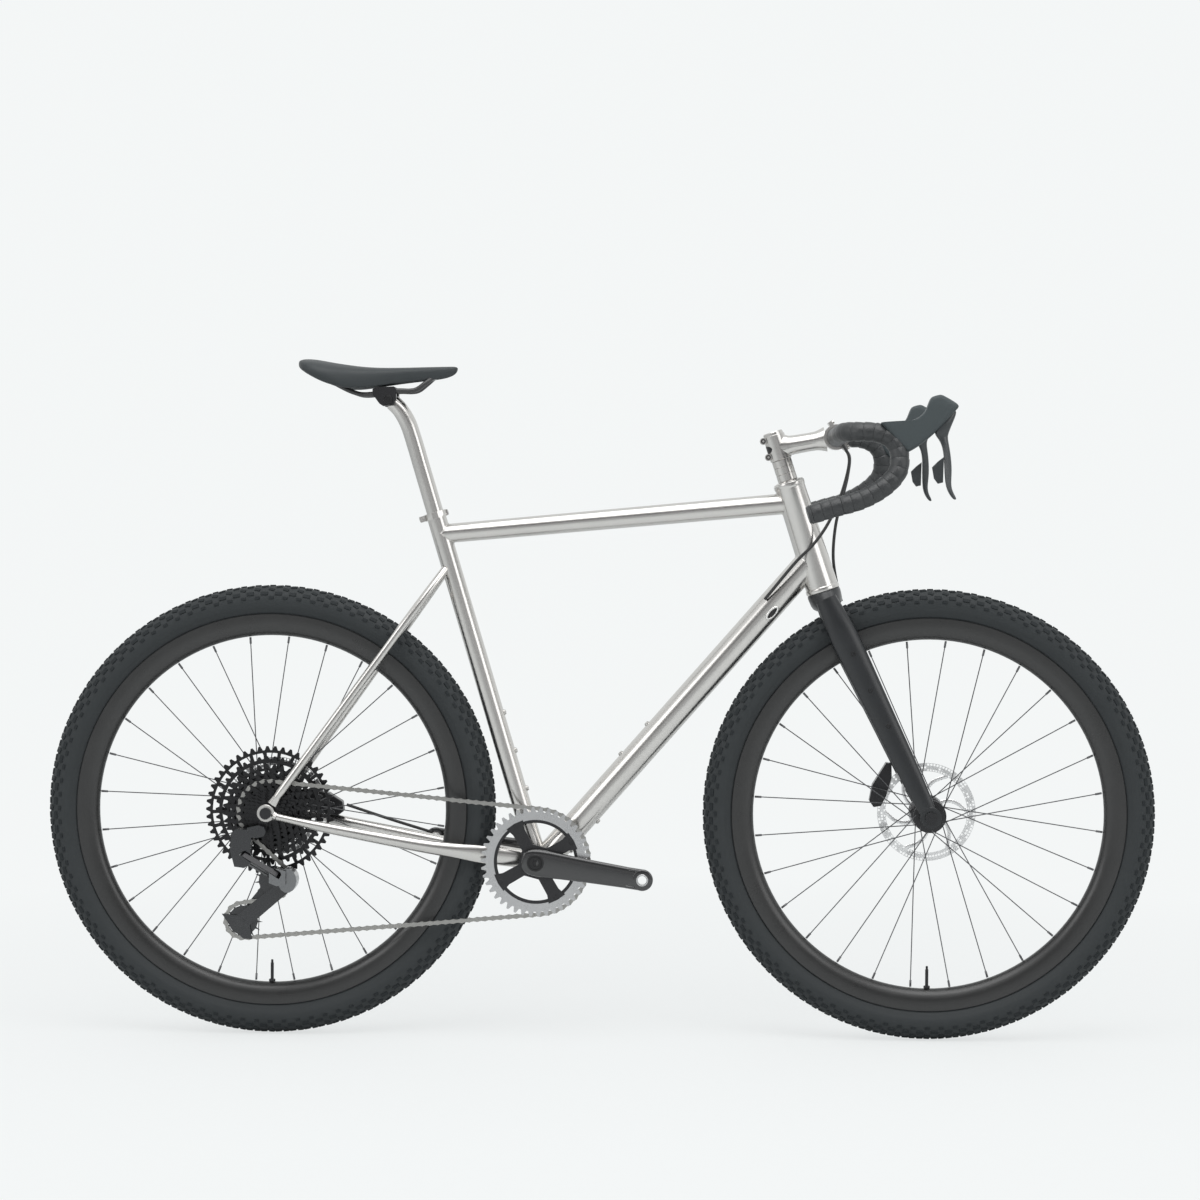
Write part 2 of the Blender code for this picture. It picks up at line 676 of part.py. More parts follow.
def build_seat_clamp(mat):
    inner = SEAT_TUBE_R + GAP
    outer = inner + CLAMP_WALL
    base = SEAT_TOP - SEAT_UP * CLAMP_HEIGHT
    profile = [(inner, 0), (outer, 0), (outer, CLAMP_HEIGHT), (inner, CLAMP_HEIGHT)]
    clamp = place("seat_clamp", turned(profile, base, SEAT_UP, TUBE_SIDES, turn=pi / TUBE_SIDES), mat)
    inset = CLAMP_HEIGHT * 0.06
    for label, near, far in (("ear", inner + CLAMP_WALL / 2, CLAMP_EAR), ("front", inner + CLAMP_WALL / 2,
                                                                          outer + CLAMP_BOLT_R)):
        way = -SEAT_FORE if label == "ear" else SEAT_FORE
        low = base + SEAT_UP * inset
        high = base + SEAT_UP * (CLAMP_HEIGHT - inset)
        corners = [low + way * near, low + way * (far - inset), low + way * far + SEAT_UP * CLAMP_HEIGHT / 4,
                   high + way * far - SEAT_UP * CLAMP_HEIGHT / 4, high + way * (far - inset), high + way * near]
        half = CLAMP_EAR_HALF if label == "ear" else CLAMP_EAR_HALF * 0.8
        join(clamp, flat_plate([(p.x, p.z) for p in corners], [], vec(0, 0, 0), vec(1, 0, 0), vec(0, 0, 1), half),
             label)
    rear = [base - SEAT_FORE * (inner - CLAMP_WALL) - SEAT_UP * MM, base - SEAT_FORE * (CLAMP_EAR + MM) - SEAT_UP * MM]
    rear += [p + SEAT_UP * (CLAMP_HEIGHT + 2 * MM) for p in reversed(rear)]
    cut(clamp, flat_plate([(p.x, p.z) for p in rear], [], vec(0, 0, 0), vec(1, 0, 0), vec(0, 0, 1),
                          SLOT_WIDTH / 2), "slot")
    bolt = SEAT_TOP - SEAT_UP * CLAMP_HEIGHT / 2 - SEAT_FORE * (CLAMP_EAR - 2 * CLAMP_BOLT_R)
    reach = Y_AXIS * (CLAMP_EAR_HALF + MM)
    join(clamp, rod(bolt - reach, bolt + reach, CLAMP_BOLT_R, 8), "bolt")


BOSS_R = 4.6 * MM
BOSS_PROUD = 1.4 * MM
BOLT_HEAD_R = 3.4 * MM
BOLT_HEAD_PROUD = 2.4 * MM
BOSS_SPACING = 64 * MM
DOWN_TUBE_BOSSES = 217 * MM
UNDER_BOSSES = 46 * MM
SEAT_TUBE_BOSSES = 114 * MM
PORT_LENGTH = 22 * MM
PORT_WIDTH = 12 * MM
PORT_PROUD = 1.6 * MM
PORT_UP_DOWN_TUBE = 540 * MM


def boss(on, out):
    """A threaded boss with a low bolt head in it, standing on a tube's skin."""
    profile = [(0, -TUBE_WALL / 2), (BOSS_R, -TUBE_WALL / 2), (BOLT_HEAD_R, BOSS_PROUD + BOLT_HEAD_PROUD),
               (0, BOSS_PROUD + BOLT_HEAD_PROUD)]
    return turned(profile, on, out, BAR_SIDES)


def tube_boss(origin, direction, distance, out, radius):
    at = origin + direction * distance + out * radius
    return boss(at, out)


def down_tube_axes():
    down = (DOWN_TUBE_FRONT - DOWN_TUBE_REAR).normalized()
    return down, vec(-down.z, 0, down.x)


def down_tube_bosses():
    down, up = down_tube_axes()
    bosses = []
    for k in range(2):
        bosses.append(tube_boss(DOWN_TUBE_REAR, down, DOWN_TUBE_BOSSES + k * BOSS_SPACING, up, DOWN_TUBE_R))
        bosses.append(tube_boss(DOWN_TUBE_REAR, down, UNDER_BOSSES + k * BOSS_SPACING, -up, DOWN_TUBE_R))
    return merge(*bosses)


def seat_tube_bosses():
    return merge(*[tube_boss(BB, SEAT_UP, SEAT_TUBE_BOSSES + k * BOSS_SPACING, SEAT_FORE, SEAT_TUBE_R)
                   for k in range(3)])


def build_hose_port(mat):
    """An oval rim on the down tube's side, where the rear hose goes in."""
    down, up = down_tube_axes()
    reach = (PORT_LENGTH - PORT_WIDTH) / 2
    loop = []
    for k in range(10):
        t = 2 * pi * (k + 0.5) / 10
        loop.append((cos(t) * PORT_WIDTH / 2 + (reach if cos(t) > 0 else -reach), sin(t) * PORT_WIDTH / 2))
    slot = [(a * 0.6, b * 0.45) for a, b in loop]
    at = DOWN_TUBE_REAR + down * PORT_UP_DOWN_TUBE - Y_AXIS * (DOWN_TUBE_R + GAP + PORT_PROUD / 2)
    place("hose_port", flat_plate(loop, [slot], at, down, up, PORT_PROUD / 2), mat)


# Wheels

TYRE_FLAT = 14 * MM
RIM_BED_HALF = 12.7 * MM
RIM_SLOPE_R = 300 * MM
HUB_BORE_R = AXLE_R + GAP
HUB_SHAFT_R = 8.5 * MM
HUB_BODY_R = 13 * MM
HUB_CORE_R = 10.5 * MM
FLANGE_BEHIND_COG = 5.55 * MM
FLANGE_SINK = 0.5 * MM
FLANGE_R = 26.5 * MM
FLANGE_HALF = 2.4 * MM
SPOKE_HOLE_R = 22.5 * MM
SPOKE_OFFSET = FLANGE_HALF - SPOKE_R - 0.1 * MM
FRONT_FLANGES = (22 * MM, -36 * MM)
BIG_COG_INNER_Y = SMALL_COG_Y + COG_SPACING * (len(COGS) - 1) + COG_THICKNESS / 2
REAR_FLANGES = (32 * MM, BIG_COG_INNER_Y + FLANGE_BEHIND_COG)
ROTOR_BORE_R = 17.5 * MM
ROTOR_ARMS = 5
ROTOR_HUB_R = 27 * MM
VALVE_R = 2.7 * MM
VALVE_LENGTH = 42 * MM
FACET_TURN = pi / WHEEL_SIDES


def tyre_bm(axle):
    """A tyre that stands on a flat facet, open between its beads."""
    half = TYRE_WIDTH / 2
    centre = TYRE_RADIUS - half
    outer = [(RIM_BEAD_R + GAP, RIM_BED_HALF - GAP), (RIM_EDGE_R + 2 * GAP, RIM_BED_HALF)]
    for t in (-22, 0, 26):
        outer.append((centre + half * sin(radians(t)), half * cos(radians(t))))
    outer.append((TYRE_RADIUS - 5 * MM, half * 0.66))
    outer.append((TYRE_RADIUS, TYRE_FLAT / 2))
    inner = []
    r = half - TYRE_CASING
    for t in (62, -8):
        inner.append((centre + r * sin(radians(t)), r * cos(radians(t))))
    inner.append((RIM_BEAD_R + GAP, RIM_BED_HALF - TYRE_CASING))
    loop = outer + [(r, -h) for r, h in reversed(outer)]
    loop += [(r, -h) for r, h in reversed(inner)] + inner
    spread = 1 / cos(pi / WHEEL_SIDES)
    top = TYRE_RADIUS - 8 * MM
    profile = [(r * (spread if r > top else 1), h) for r, h in loop]
    return turned(profile, axle, Y_AXIS, WHEEL_SIDES, turn=FACET_TURN)


def rim_bm(axle):
    half = RIM_WIDTH / 2
    profile = [(RIM_INNER_R, 4 * MM), (RIM_SLOPE_R, half - MM), (RIM_EDGE_R, half), (RIM_BEAD_R - GAP, RIM_BED_HALF)]
    loop = profile + [(r, -h) for r, h in reversed(profile)]
    return turned(loop, axle, Y_AXIS, WHEEL_SIDES, turn=FACET_TURN)


def spoke_bm(axle, flanges):
    """Crossed spokes that leave their flange at its inner and outer side by turns."""
    parts = []
    per_side = SPOKES // 2
    step = 2 * pi / per_side
    for i, flange in enumerate(flanges):
        for k in range(per_side):
            lead = 1 if k % 2 else -1
            rim_angle = step * k + i * step / 2 + FACET_TURN
            hub_angle = rim_angle + lead * SPOKE_CROSSES * step
            y = flange + lead * SPOKE_OFFSET
            near = axle + vec(cos(hub_angle) * SPOKE_HOLE_R, y, sin(hub_angle) * SPOKE_HOLE_R)
            far_r = RIM_INNER_R * cos(FACET_TURN) - 2 * GAP
            far = axle + vec(cos(rim_angle) * far_r, flange * 0.04, sin(rim_angle) * far_r)
            parts.append(rod(near, far, SPOKE_R, 4))
    return merge(*parts)


def flanges_bm(axle, flanges, gap):
    """The two spoke flanges on the sleeve between them, which sits on the hub's core or is one with it."""
    left, right = flanges
    flange = FLANGE_HALF
    bore = HUB_CORE_R + gap
    profile = [(bore, right - flange), (FLANGE_R, right - flange), (FLANGE_R, right + flange),
               (HUB_BODY_R, right + flange), (HUB_BODY_R, left - flange), (FLANGE_R, left - flange),
               (FLANGE_R, left + flange), (bore, left + flange)]
    return turned(profile, axle, Y_AXIS, HUB_SIDES)


def hub_bm(axle, flanges, half, rotor_y, gap):
    left, right = flanges
    shoulder, step = right - FLANGE_HALF - gap, left + FLANGE_HALF + gap
    seat = ROTOR_BORE_R - GAP
    profile = [
        (HUB_BORE_R, -half), (HUB_SHAFT_R, -half), (HUB_SHAFT_R, shoulder - 3.6 * MM),
        (HUB_BODY_R, shoulder - 2.6 * MM), (HUB_BODY_R, shoulder), (HUB_CORE_R, shoulder), (HUB_CORE_R, step),
        (seat, step), (seat, rotor_y + 2 * MM), (HUB_SHAFT_R, rotor_y + 2 * MM), (HUB_SHAFT_R, half),
        (HUB_BORE_R, half),
    ]
    return turned(profile, axle, Y_AXIS, HUB_SIDES)


def rotor_plate(axle, y):
    """A brake disc with raked windows between its arms."""
    windows = []
    out = ROTOR_R - ROTOR_TRACK
    step = 2 * pi / ROTOR_ARMS
    rake = radians(24)
    for k in range(ROTOR_ARMS):
        start = step * k
        window = [(out * cos(start + step * s), out * sin(start + step * s)) for s in (0.1, 0.37, 0.63, 0.9)]
        window += [(ROTOR_HUB_R * cos(start + rake + step * s), ROTOR_HUB_R * sin(start + rake + step * s))
                   for s in (0.68, 0.25)]
        windows.append(window)
    return flat_plate(circle_loop(ROTOR_R, WHEEL_SIDES), [circle_loop(ROTOR_BORE_R, HUB_SIDES)] + windows,
                      axle + Y_AXIS * y, vec(1, 0, 0), vec(0, 0, 1), ROTOR_THICKNESS / 2)


def valve_bm(axle):
    start = axle - vec(0, 0, RIM_INNER_R + RIM_WALL)
    return rod(start, start + vec(0, 0, VALVE_LENGTH + RIM_WALL), VALVE_R, 8)


def build_wheel(which, axle, flanges, half, rotor_y, mats, loose_flanges=False):
    """A wheel; with loose flanges the spokes and their flanges are a solid of their own beside the cassette."""
    place(which + "_tyre", tyre_bm(axle), mats["tyre"], axle)
    rim = place(which + "_rim", rim_bm(axle), mats["carbon"], axle)
    join(rim, valve_bm(axle), "valve")
    gap = GAP if loose_flanges else -FLANGE_SINK
    hub = place(which + "_hub", hub_bm(axle, flanges, half - GAP, rotor_y, gap), mats["black_metal"], axle)
    pair = flanges_bm(axle, flanges, gap)
    if loose_flanges:
        hub = place(which + "_spokes", pair, mats["black_metal"], axle)
    else:
        join(hub, pair, "flanges")
    join(hub, spoke_bm(axle, flanges), "wires")
    place(which + "_rotor", rotor_plate(axle, rotor_y), mats["steel"], axle)


AXLE_HEAD_R = 9.5 * MM
AXLE_HEAD = 5 * MM


def thru_axle(axle, outer):
    """A through axle with a round head on the drive side."""
    profile = [(0, -outer - AXLE_HEAD), (AXLE_HEAD_R, -outer - AXLE_HEAD), (AXLE_HEAD_R, -outer - GAP),
               (AXLE_R, -outer - GAP), (AXLE_R, outer + MM), (0, outer + MM)]
    return turned(profile, axle, Y_AXIS, 12, turn=pi / 12)


# Course of the chain

def sprocket_r(teeth):
    return PITCH / (2 * sin(pi / teeth))


def cog_y(index):
    return SMALL_COG_Y + COG_SPACING * index


USED_TEETH = COGS[COG_IN_USE]
CHAIN_Y = cog_y(COG_IN_USE)
CAGE_PIVOT = REAR_AXLE + vec(-CAGE_PIVOT_AFT, 0, -CAGE_PIVOT_BELOW)


def flat(p):
    return Vector((p.x, p.z))


def pulley_centres(angle):
    """Guide and tension pulley for a cage turned to an angle."""
    guide = CAGE_PIVOT + vec(cos(angle), 0, sin(angle)) * GUIDE_PULLEY_REACH
    far = angle + CAGE_BEND
    tension = CAGE_PIVOT + vec(cos(far), 0, sin(far)) * TENSION_PULLEY_REACH
    return guide, tension


def tangent(c1, r1, way1, c2, r2, way2):
    """Angles on two circles between which a straight run leaves the first for the second."""
    d = c2 - c1
    heading = atan2(d.y, d.x) + asin((way1 * r1 - way2 * r2) / d.length)
    return heading - way1 * pi / 2, heading - way2 * pi / 2


def chain_course(cage_angle):
    """Arcs and straight runs in the order in which the chain goes back from the chainring's top."""
    guide, tension = pulley_centres(cage_angle)
    stops = [(REAR_AXLE, USED_TEETH, 1, CHAIN_Y), (guide, PULLEY_TEETH, -1, CHAIN_Y),
             (tension, PULLEY_TEETH, 1, CHAIN_Y), (BB, RING_TEETH, 1, RING_Y)]
    touches = []
    for i, (c1, n1, w1, _) in enumerate(stops):
        c2, n2, w2, _ = stops[(i + 1) % len(stops)]
        touches.append(tangent(flat(c1), sprocket_r(n1), w1, flat(c2), sprocket_r(n2), w2))
    course = []
    s = 0.0
    for i, (c, n, way, y) in enumerate(stops):
        arrive = touches[i - 1][1]
        leave, land = touches[i]
        sweep = ((leave - arrive) * way) % (2 * pi)
        pitches = sweep * n / (2 * pi)
        course.append(("arc", s, pitches, (c, n, way, y, arrive)))
        s += pitches
        c2, n2, _, y2 = stops[(i + 1) % len(stops)]
        start = flat(c) + Vector((cos(leave), sin(leave))) * sprocket_r(n)
        end = flat(c2) + Vector((cos(land), sin(land))) * sprocket_r(n2)
        pitches = (end - start).length / PITCH
        course.append(("run", s, pitches, (vec(start.x, y, start.y), vec(end.x, y2, end.y))))
        s += pitches
    return course, s


def solve_cage(pitches):
    """The cage angle at which the chain closes on a whole number of pitches."""
    low, high = radians(140), radians(215)
    rising = chain_course(high)[1] > chain_course(low)[1]
    for _ in range(50):
        middle = (low + high) / 2
        if (chain_course(middle)[1] < pitches) == rising:
            low = middle
        else:
            high = middle
    return (low + high) / 2


CAGE_ANGLE = solve_cage(CHAIN_PITCHES)
COURSE, _ = chain_course(CAGE_ANGLE)
GUIDE_CENTRE, TENSION_CENTRE = pulley_centres(CAGE_ANGLE)


def chain_pin(k):
    """Where pin k sits, and the phase of the sprocket it lies on, if any."""
    for kind, start, pitches, data in COURSE:
        if start <= k < start + pitches:
            if kind == "run":
                return along(data[0], data[1], (k - start) / pitches)
            c, n, way, y, arrive = data
            t = arrive + way * (k - start) * 2 * pi / n
            return vec(c.x + cos(t) * sprocket_r(n), y, c.z + sin(t) * sprocket_r(n))
    raise ValueError("pin outside the chain")


def sprocket_phase(index):
    """The angle of a tooth root that holds a pin, for the nth sprocket on the course."""
    _, start, _, (_, n, way, _, arrive) = COURSE[2 * index]
    return arrive - way * start * 2 * pi / n


# Chain, sprockets and cranks

ROOT_DEPTH = 4.6 * MM
ROOT_HALF = 3.9 * MM
TIP_HEIGHT = 3.5 * MM
LINK_END = 3.2 * MM


def tooth_loop(teeth, phase, engaged=True):
    """A sprocket's outline: flat roots round the chain's pins and pointed teeth between them."""
    r = sprocket_r(teeth)
    step = 2 * pi / teeth
    half = asin(ROOT_HALF / (r - ROOT_DEPTH))
    loop = []
    for k in range(teeth):
        t = phase + k * step
        low = r - ROOT_DEPTH
        if engaged:
            loop += [(low * cos(t - half), low * sin(t - half)), (low * cos(t + half), low * sin(t + half))]
        else:
            loop.append((low * cos(t), low * sin(t)))
        loop.append(((r + TIP_HEIGHT) * cos(t + step / 2), (r + TIP_HEIGHT) * sin(t + step / 2)))
    return loop


def link_axes(a, b):
    along_link = (b - a).normalized()
    across = along_link.cross(Y_AXIS).normalized()
    return along_link, across


def on_sprocket(p):
    """Whether a sprocket's or pulley's teeth reach into the link that has its middle here."""
    return any((flat(p) - flat(c)).length < sprocket_r(n) + PITCH * 0.75 for _, _, _, (c, n, _, _, _) in COURSE[::2])


def link_end(bm, at, n, is_open):
    """The corners across a link's end, at the edges of its plates, below and above."""
    widths = (CHAIN_OUTER_HALF, CHAIN_MIDDLE_HALF) + ((CHAIN_INNER_HALF,) if is_open else ())
    places = [-w for w in widths] + list(reversed(widths))
    return [[bm.verts.new(at + Y_AXIS * y + n * h) for y in places]
            for h in (-CHAIN_HALF_HEIGHT, CHAIN_HALF_HEIGHT)]


def open_link(bm, a, b, rear, fore):
    """An outer link's upper and lower faces round the window that a tooth comes through."""
    d, n = link_axes(a, b)
    window = []
    for level in (0, 1):
        up = n * (CHAIN_HALF_HEIGHT if level else -CHAIN_HALF_HEIGHT)
        half = Y_AXIS * (CHAIN_MIDDLE_HALF + CHAIN_PLATE_GAP)
        ends = (a + d * LINK_END + up, b - d * LINK_END + up)
        hole = [bm.verts.new(p) for p in (ends[0] - half, ends[0] + half, ends[1] + half, ends[1] - half)]
        window.append(hole)
        for end, low, high in ((rear[level], hole[0], hole[1]), (fore[level], hole[3], hole[2])):
            middle = len(end) // 2
            for i in range(len(end) - 1):
                bm.faces.new((end[i], end[i + 1], low if i < middle else high))
            bm.faces.new((end[middle], low, high))
        bm.faces.new((rear[level][0], fore[level][0], hole[3], hole[0]))
        bm.faces.new((rear[level][-1], fore[level][-1], hole[2], hole[1]))
    wall_between(bm, *window)


def closed_link(bm, rear, fore):
    for level in (0, 1):
        for i in range(3):
            bm.faces.new((rear[level][i], fore[level][i], fore[level][i + 1], rear[level][i + 1]))


def build_chain(mat):
    """Outer links at the even pins, and inner links from each to the next."""
    pins = [chain_pin(k) for k in range(CHAIN_PITCHES)]
    at = [on_sprocket(along(pins[k], pins[(k + 1) % len(pins)], 0.5)) for k in range(len(pins))]
    bm = bmesh.new()
    ends = []
    for k in range(0, len(pins), 2):
        a, b = pins[k], pins[k + 1]
        before, after = at[k - 1], at[(k + 1) % len(pins)]
        d, n = link_axes(a, b)
        rear = link_end(bm, a - d * LINK_END, n, before)
        fore = link_end(bm, b + d * LINK_END, n, after)
        if at[k] or before or after:
            open_link(bm, a, b, rear, fore)
        else:
            closed_link(bm, rear, fore)
        for side in (0, -1):
            bm.faces.new((rear[0][side], fore[0][side], fore[1][side], rear[1][side]))
        for end in (rear, fore):
            for i in range(0, len(end[0]), 2):
                bm.faces.new((end[0][i], end[0][i + 1], end[1][i + 1], end[1][i]))
        ends.append((rear, fore))
    for (_, near), (far, _) in zip(ends, ends[1:] + ends[:1]):
        for i in range(1, len(near[0]) - 1, 2):
            wall_between(bm, *[[end[0][i], end[0][i + 1], end[1][i + 1], end[1][i]] for end in (near, far)])
    place("chain", bm, mat)


def window_loops(count, inner, outer, share):
    """Windows between two radii, each filling a share of its own sector."""
    loops = []
    step = 2 * pi / count
    for k in range(count):
        a = step * (k + (1 - share) / 2)
        b = a + step * share
        loops.append([(outer * cos(a), outer * sin(a)), (outer * cos(b), outer * sin(b)),
                      (inner * cos(b), inner * sin(b)), (inner * cos(a), inner * sin(a))])
    return loops


SLEEVE_R = 20.6 * MM
SLEEVE_BORE_R = 17.4 * MM
NOSE_R = 13.6 * MM
NOSE_BORE_R = 10.2 * MM
WINDOWED_COGS = 2
COG_WINDOWS = 7
CARRIER_SIDES = 8


def cassette_bm():
    """Twelve sprockets in one piece with the stepped sleeve that carries them."""
    bm = bmesh.new()
    half = COG_THICKNESS / 2

    def ring(loop, y):
        return add_ring(bm, [REAR_AXLE + vec(a, y, b) for a, b in loop])

    def side_face(*loops):
        bmesh.ops.triangle_fill(bm, edges=[e for loop in loops for e in loop[1]], use_beauty=True)

    below = None
    for i, teeth in enumerate(COGS):
        used = i == COG_IN_USE
        outline = tooth_loop(teeth, sprocket_phase(0) if used else pi / 2, used)
        windows = []
        if i >= len(COGS) - WINDOWED_COGS:
            middle = (sprocket_r(teeth) + sprocket_r(COGS[i - 1])) / 2
            windows = window_loops(COG_WINDOWS, SLEEVE_R + 4 * MM, middle - 9 * MM, 0.62)
        low_r = NOSE_BORE_R if i == 0 else NOSE_R if i <= 2 else SLEEVE_R
        high_r = SLEEVE_BORE_R if i == len(COGS) - 1 else NOSE_R if i < 2 else SLEEVE_R
        faces = []
        for y, core in ((cog_y(i) - half, low_r), (cog_y(i) + half, high_r)):
            loops = [ring(loop, y) for loop in [outline, circle_loop(core, CARRIER_SIDES)] + windows]
            side_face(*loops)
            faces.append(loops)
        for k in [0] + list(range(2, len(faces[0]))):
            wall_between(bm, faces[0][k][0], faces[1][k][0])
        if below:
            wall_between(bm, below[1][0], faces[0][1][0])
        else:
            bore = [faces[0][1]]
        below = faces[1]
    step_y = cog_y(2) - half * 0.5
    bore += [ring(circle_loop(r, CARRIER_SIDES), step_y) for r in (NOSE_BORE_R, SLEEVE_BORE_R)] + [below[1]]
    for low, high in zip(bore, bore[1:]):
        wall_between(bm, low[0], high[0])
    return bm


def build_cassette(mat):
    place("cassette", cassette_bm(), mat, REAR_AXLE)


RING_BAND_R = 65 * MM
RING_HALF = 1.6 * MM
RING_TOOTH_HALF = 0.8 * MM
SPIDER_ARMS = 4
SPIDER_FIRST_ARM = radians(30)
SPIDER_ARM_STEP = radians(90)
SPIDER_HUB_R = 25 * MM
SPIDER_ARM_HALF = 10.5 * MM


def build_chainring(mat):
    loop = tooth_loop(RING_TEETH, sprocket_phase(3))
    ring = flat_plate(loop, [circle_loop(RING_BAND_R, 24)], BB + Y_AXIS * RING_Y, vec(1, 0, 0), vec(0, 0, 1),
                      RING_TOOTH_HALF)
    place("chainring", ring, mat, BB)


def spider_outline(turn):
    """Four flaring arms from a round hub."""
    loop = []
    far = RING_BAND_R + 5 * MM
    flare = asin(SPIDER_ARM_HALF * 1.45 / far)
    waist_r = SPIDER_HUB_R * 1.15
    waist = asin(SPIDER_ARM_HALF * 0.95 / waist_r)
    for k in range(SPIDER_ARMS):
        a = turn + k * SPIDER_ARM_STEP
        for r, t in ((waist_r, -waist), (far * 0.8, -asin(SPIDER_ARM_HALF / (far * 0.8))), (far, -flare), (far, 0),
                     (far, flare), (far * 0.8, asin(SPIDER_ARM_HALF / (far * 0.8))), (waist_r, waist)):
            loop.append((r * cos(a + t), r * sin(a + t)))
    return loop


def build_spider(mat):
    """The spider lies on the chainring's outer face and carries four bolts."""
    y = RING_Y - RING_TOOTH_HALF - GAP - RING_HALF
    spider = flat_plate(spider_outline(SPIDER_FIRST_ARM), [circle_loop(SPINDLE_R + GAP, HUB_SIDES)], BB + Y_AXIS * y,
                        vec(1, 0, 0), vec(0, 0, 1), RING_HALF)
    place("spider", spider, mat, BB)


ARM_INNER_Y = 52 * MM


def crank_rings(side):
    """Cross sections of a crank arm from beyond the spindle to beyond the pedal hole."""
    turn = CRANK_ANGLE if side < 0 else CRANK_ANGLE + pi
    d = vec(cos(turn), 0, sin(turn))
    n = vec(-sin(turn), 0, cos(turn))
    half = CRANK_THICKNESS / 2
    rings = []
    root, tip = CRANK_ROOT_R, CRANK_TIP_R
    stations = [(-root, 0.42 * root, 0), (-0.8 * root, 0.8 * root, 0), (0, root * 1.02, 0), (45 * MM, root * 0.9, 0.12),
                (95 * MM, root * 0.82, 0.45), (CRANK_LENGTH, tip, 1), (CRANK_LENGTH + tip * 0.75, tip * 0.7, 1),
                (CRANK_LENGTH + tip, tip * 0.36, 1)]
    for t, wide, share in stations:
        outer = ARM_INNER_Y + CRANK_THICKNESS + (CRANK_TIP_Y - ARM_INNER_Y - CRANK_THICKNESS) * share
        middle = BB + d * t + Y_AXIS * side * (outer - half)
        bevel = half * 0.55
        outline = [(-wide, -half), (wide, -half), (wide, half - bevel), (wide * 0.72, half), (-wide * 0.72, half),
                   (-wide, half - bevel)]
        rings.append([middle + n * a + Y_AXIS * side * b for a, b in outline])
    return rings, d


def build_cranks(mat):
    for side in (-1, 1):
        rings, d = crank_rings(side)
        arm = place("crank_arm_" + side_name(side), solid_loft(rings), mat, BB)
        hole = BB + d * CRANK_LENGTH
        reach = Y_AXIS * side * (CRANK_TIP_Y + 9 * MM)
        cut(arm, rod(hole, hole + reach, PEDAL_HOLE_R, 16), "pedal_hole")
        face = BB + Y_AXIS * side * ARM_INNER_Y
        if side < 0:
            join(arm, rod(face - Y_AXIS * MM, BB + Y_AXIS * (ARM_INNER_Y - 9 * MM), SPINDLE_R, HUB_SIDES), "spindle")
        else:
            start = BB + Y_AXIS * (ARM_INNER_Y - 9 * MM + GAP)
            join(arm, rod(start, face + Y_AXIS * MM, SPINDLE_R, HUB_SIDES), "collar")
            cut(arm, rod(BB, face + Y_AXIS * 9 * MM, SPINDLE_R - 4 * MM, 8), "bore")


# Rear derailleur

def mover_axes():
    """Link vector, the direction that the cage takes at a shift, and the pivots' common axis."""
    link = vec(LINK_RUN, -LINK_OUTWARD, -LINK_FALL)
    shift = vec(0, cos(SHIFT_SLANT), -sin(SHIFT_SLANT))
    return link, shift, link.cross(shift).normalized()


B_PIVOT = REAR_AXLE + vec(-34 * MM, -82 * MM, -70 * MM)
LINK_HALF = 4.5 * MM
LINK_EYE_R = 4.6 * MM
LINK_PIN_R = 2.4 * MM


def link_body(offset):
    """A bar with an eye at each end, on its own two pivots."""
    link, _, axis = mover_axes()
    d = link.normalized()
    n = axis.cross(d)
    length = link.length
    loop = []
    for centre, start in ((length, -pi / 2), (0, pi / 2)):
        for k in range(5):
            t = start + pi * k / 4
            loop.append((centre + LINK_EYE_R * cos(t), LINK_EYE_R * sin(t)))
    bore = (LINK_PIN_R + GAP) / cos(pi / 8)
    holes = [circle_loop(bore, 8), circle_loop(bore, 8, (length, 0))]
    return flat_plate(loop, holes, B_PIVOT + offset, d, n, LINK_HALF)


def build_links(mat):
    _, shift, _ = mover_axes()
    out = shift * -LINK_SPREAD
    place("derailleur_outer_link", link_body(out), mat, B_PIVOT + out)
    place("derailleur_inner_link", link_body(-out), mat, B_PIVOT - out)


def link_slot(pivot, way):
    """The room that two links sweep beside a knuckle, on the given side along them."""
    link, shift, axis = mover_axes()
    d = link.normalized() * way
    n = axis.cross(d)
    near, far, wide = -7.2 * MM, 60 * MM, 17 * MM
    outline = [(near, -wide * 0.75), (near, wide * 0.75), (0, wide), (far, 2 * wide), (far, -2 * wide), (0, -wide)]
    return flat_plate(outline, [], pivot, d, n, LINK_HALF + GAP)


def link_pins(pivot):
    _, shift, axis = mover_axes()
    pins = []
    for s in (-1, 1):
        p = pivot + shift * s * LINK_SPREAD
        pins.append(rod(p - axis * (LINK_HALF + 1.8 * MM), p + axis * (LINK_HALF + 1.8 * MM), LINK_PIN_R, 8,
                        turn=pi / 8))
    return merge(*pins)


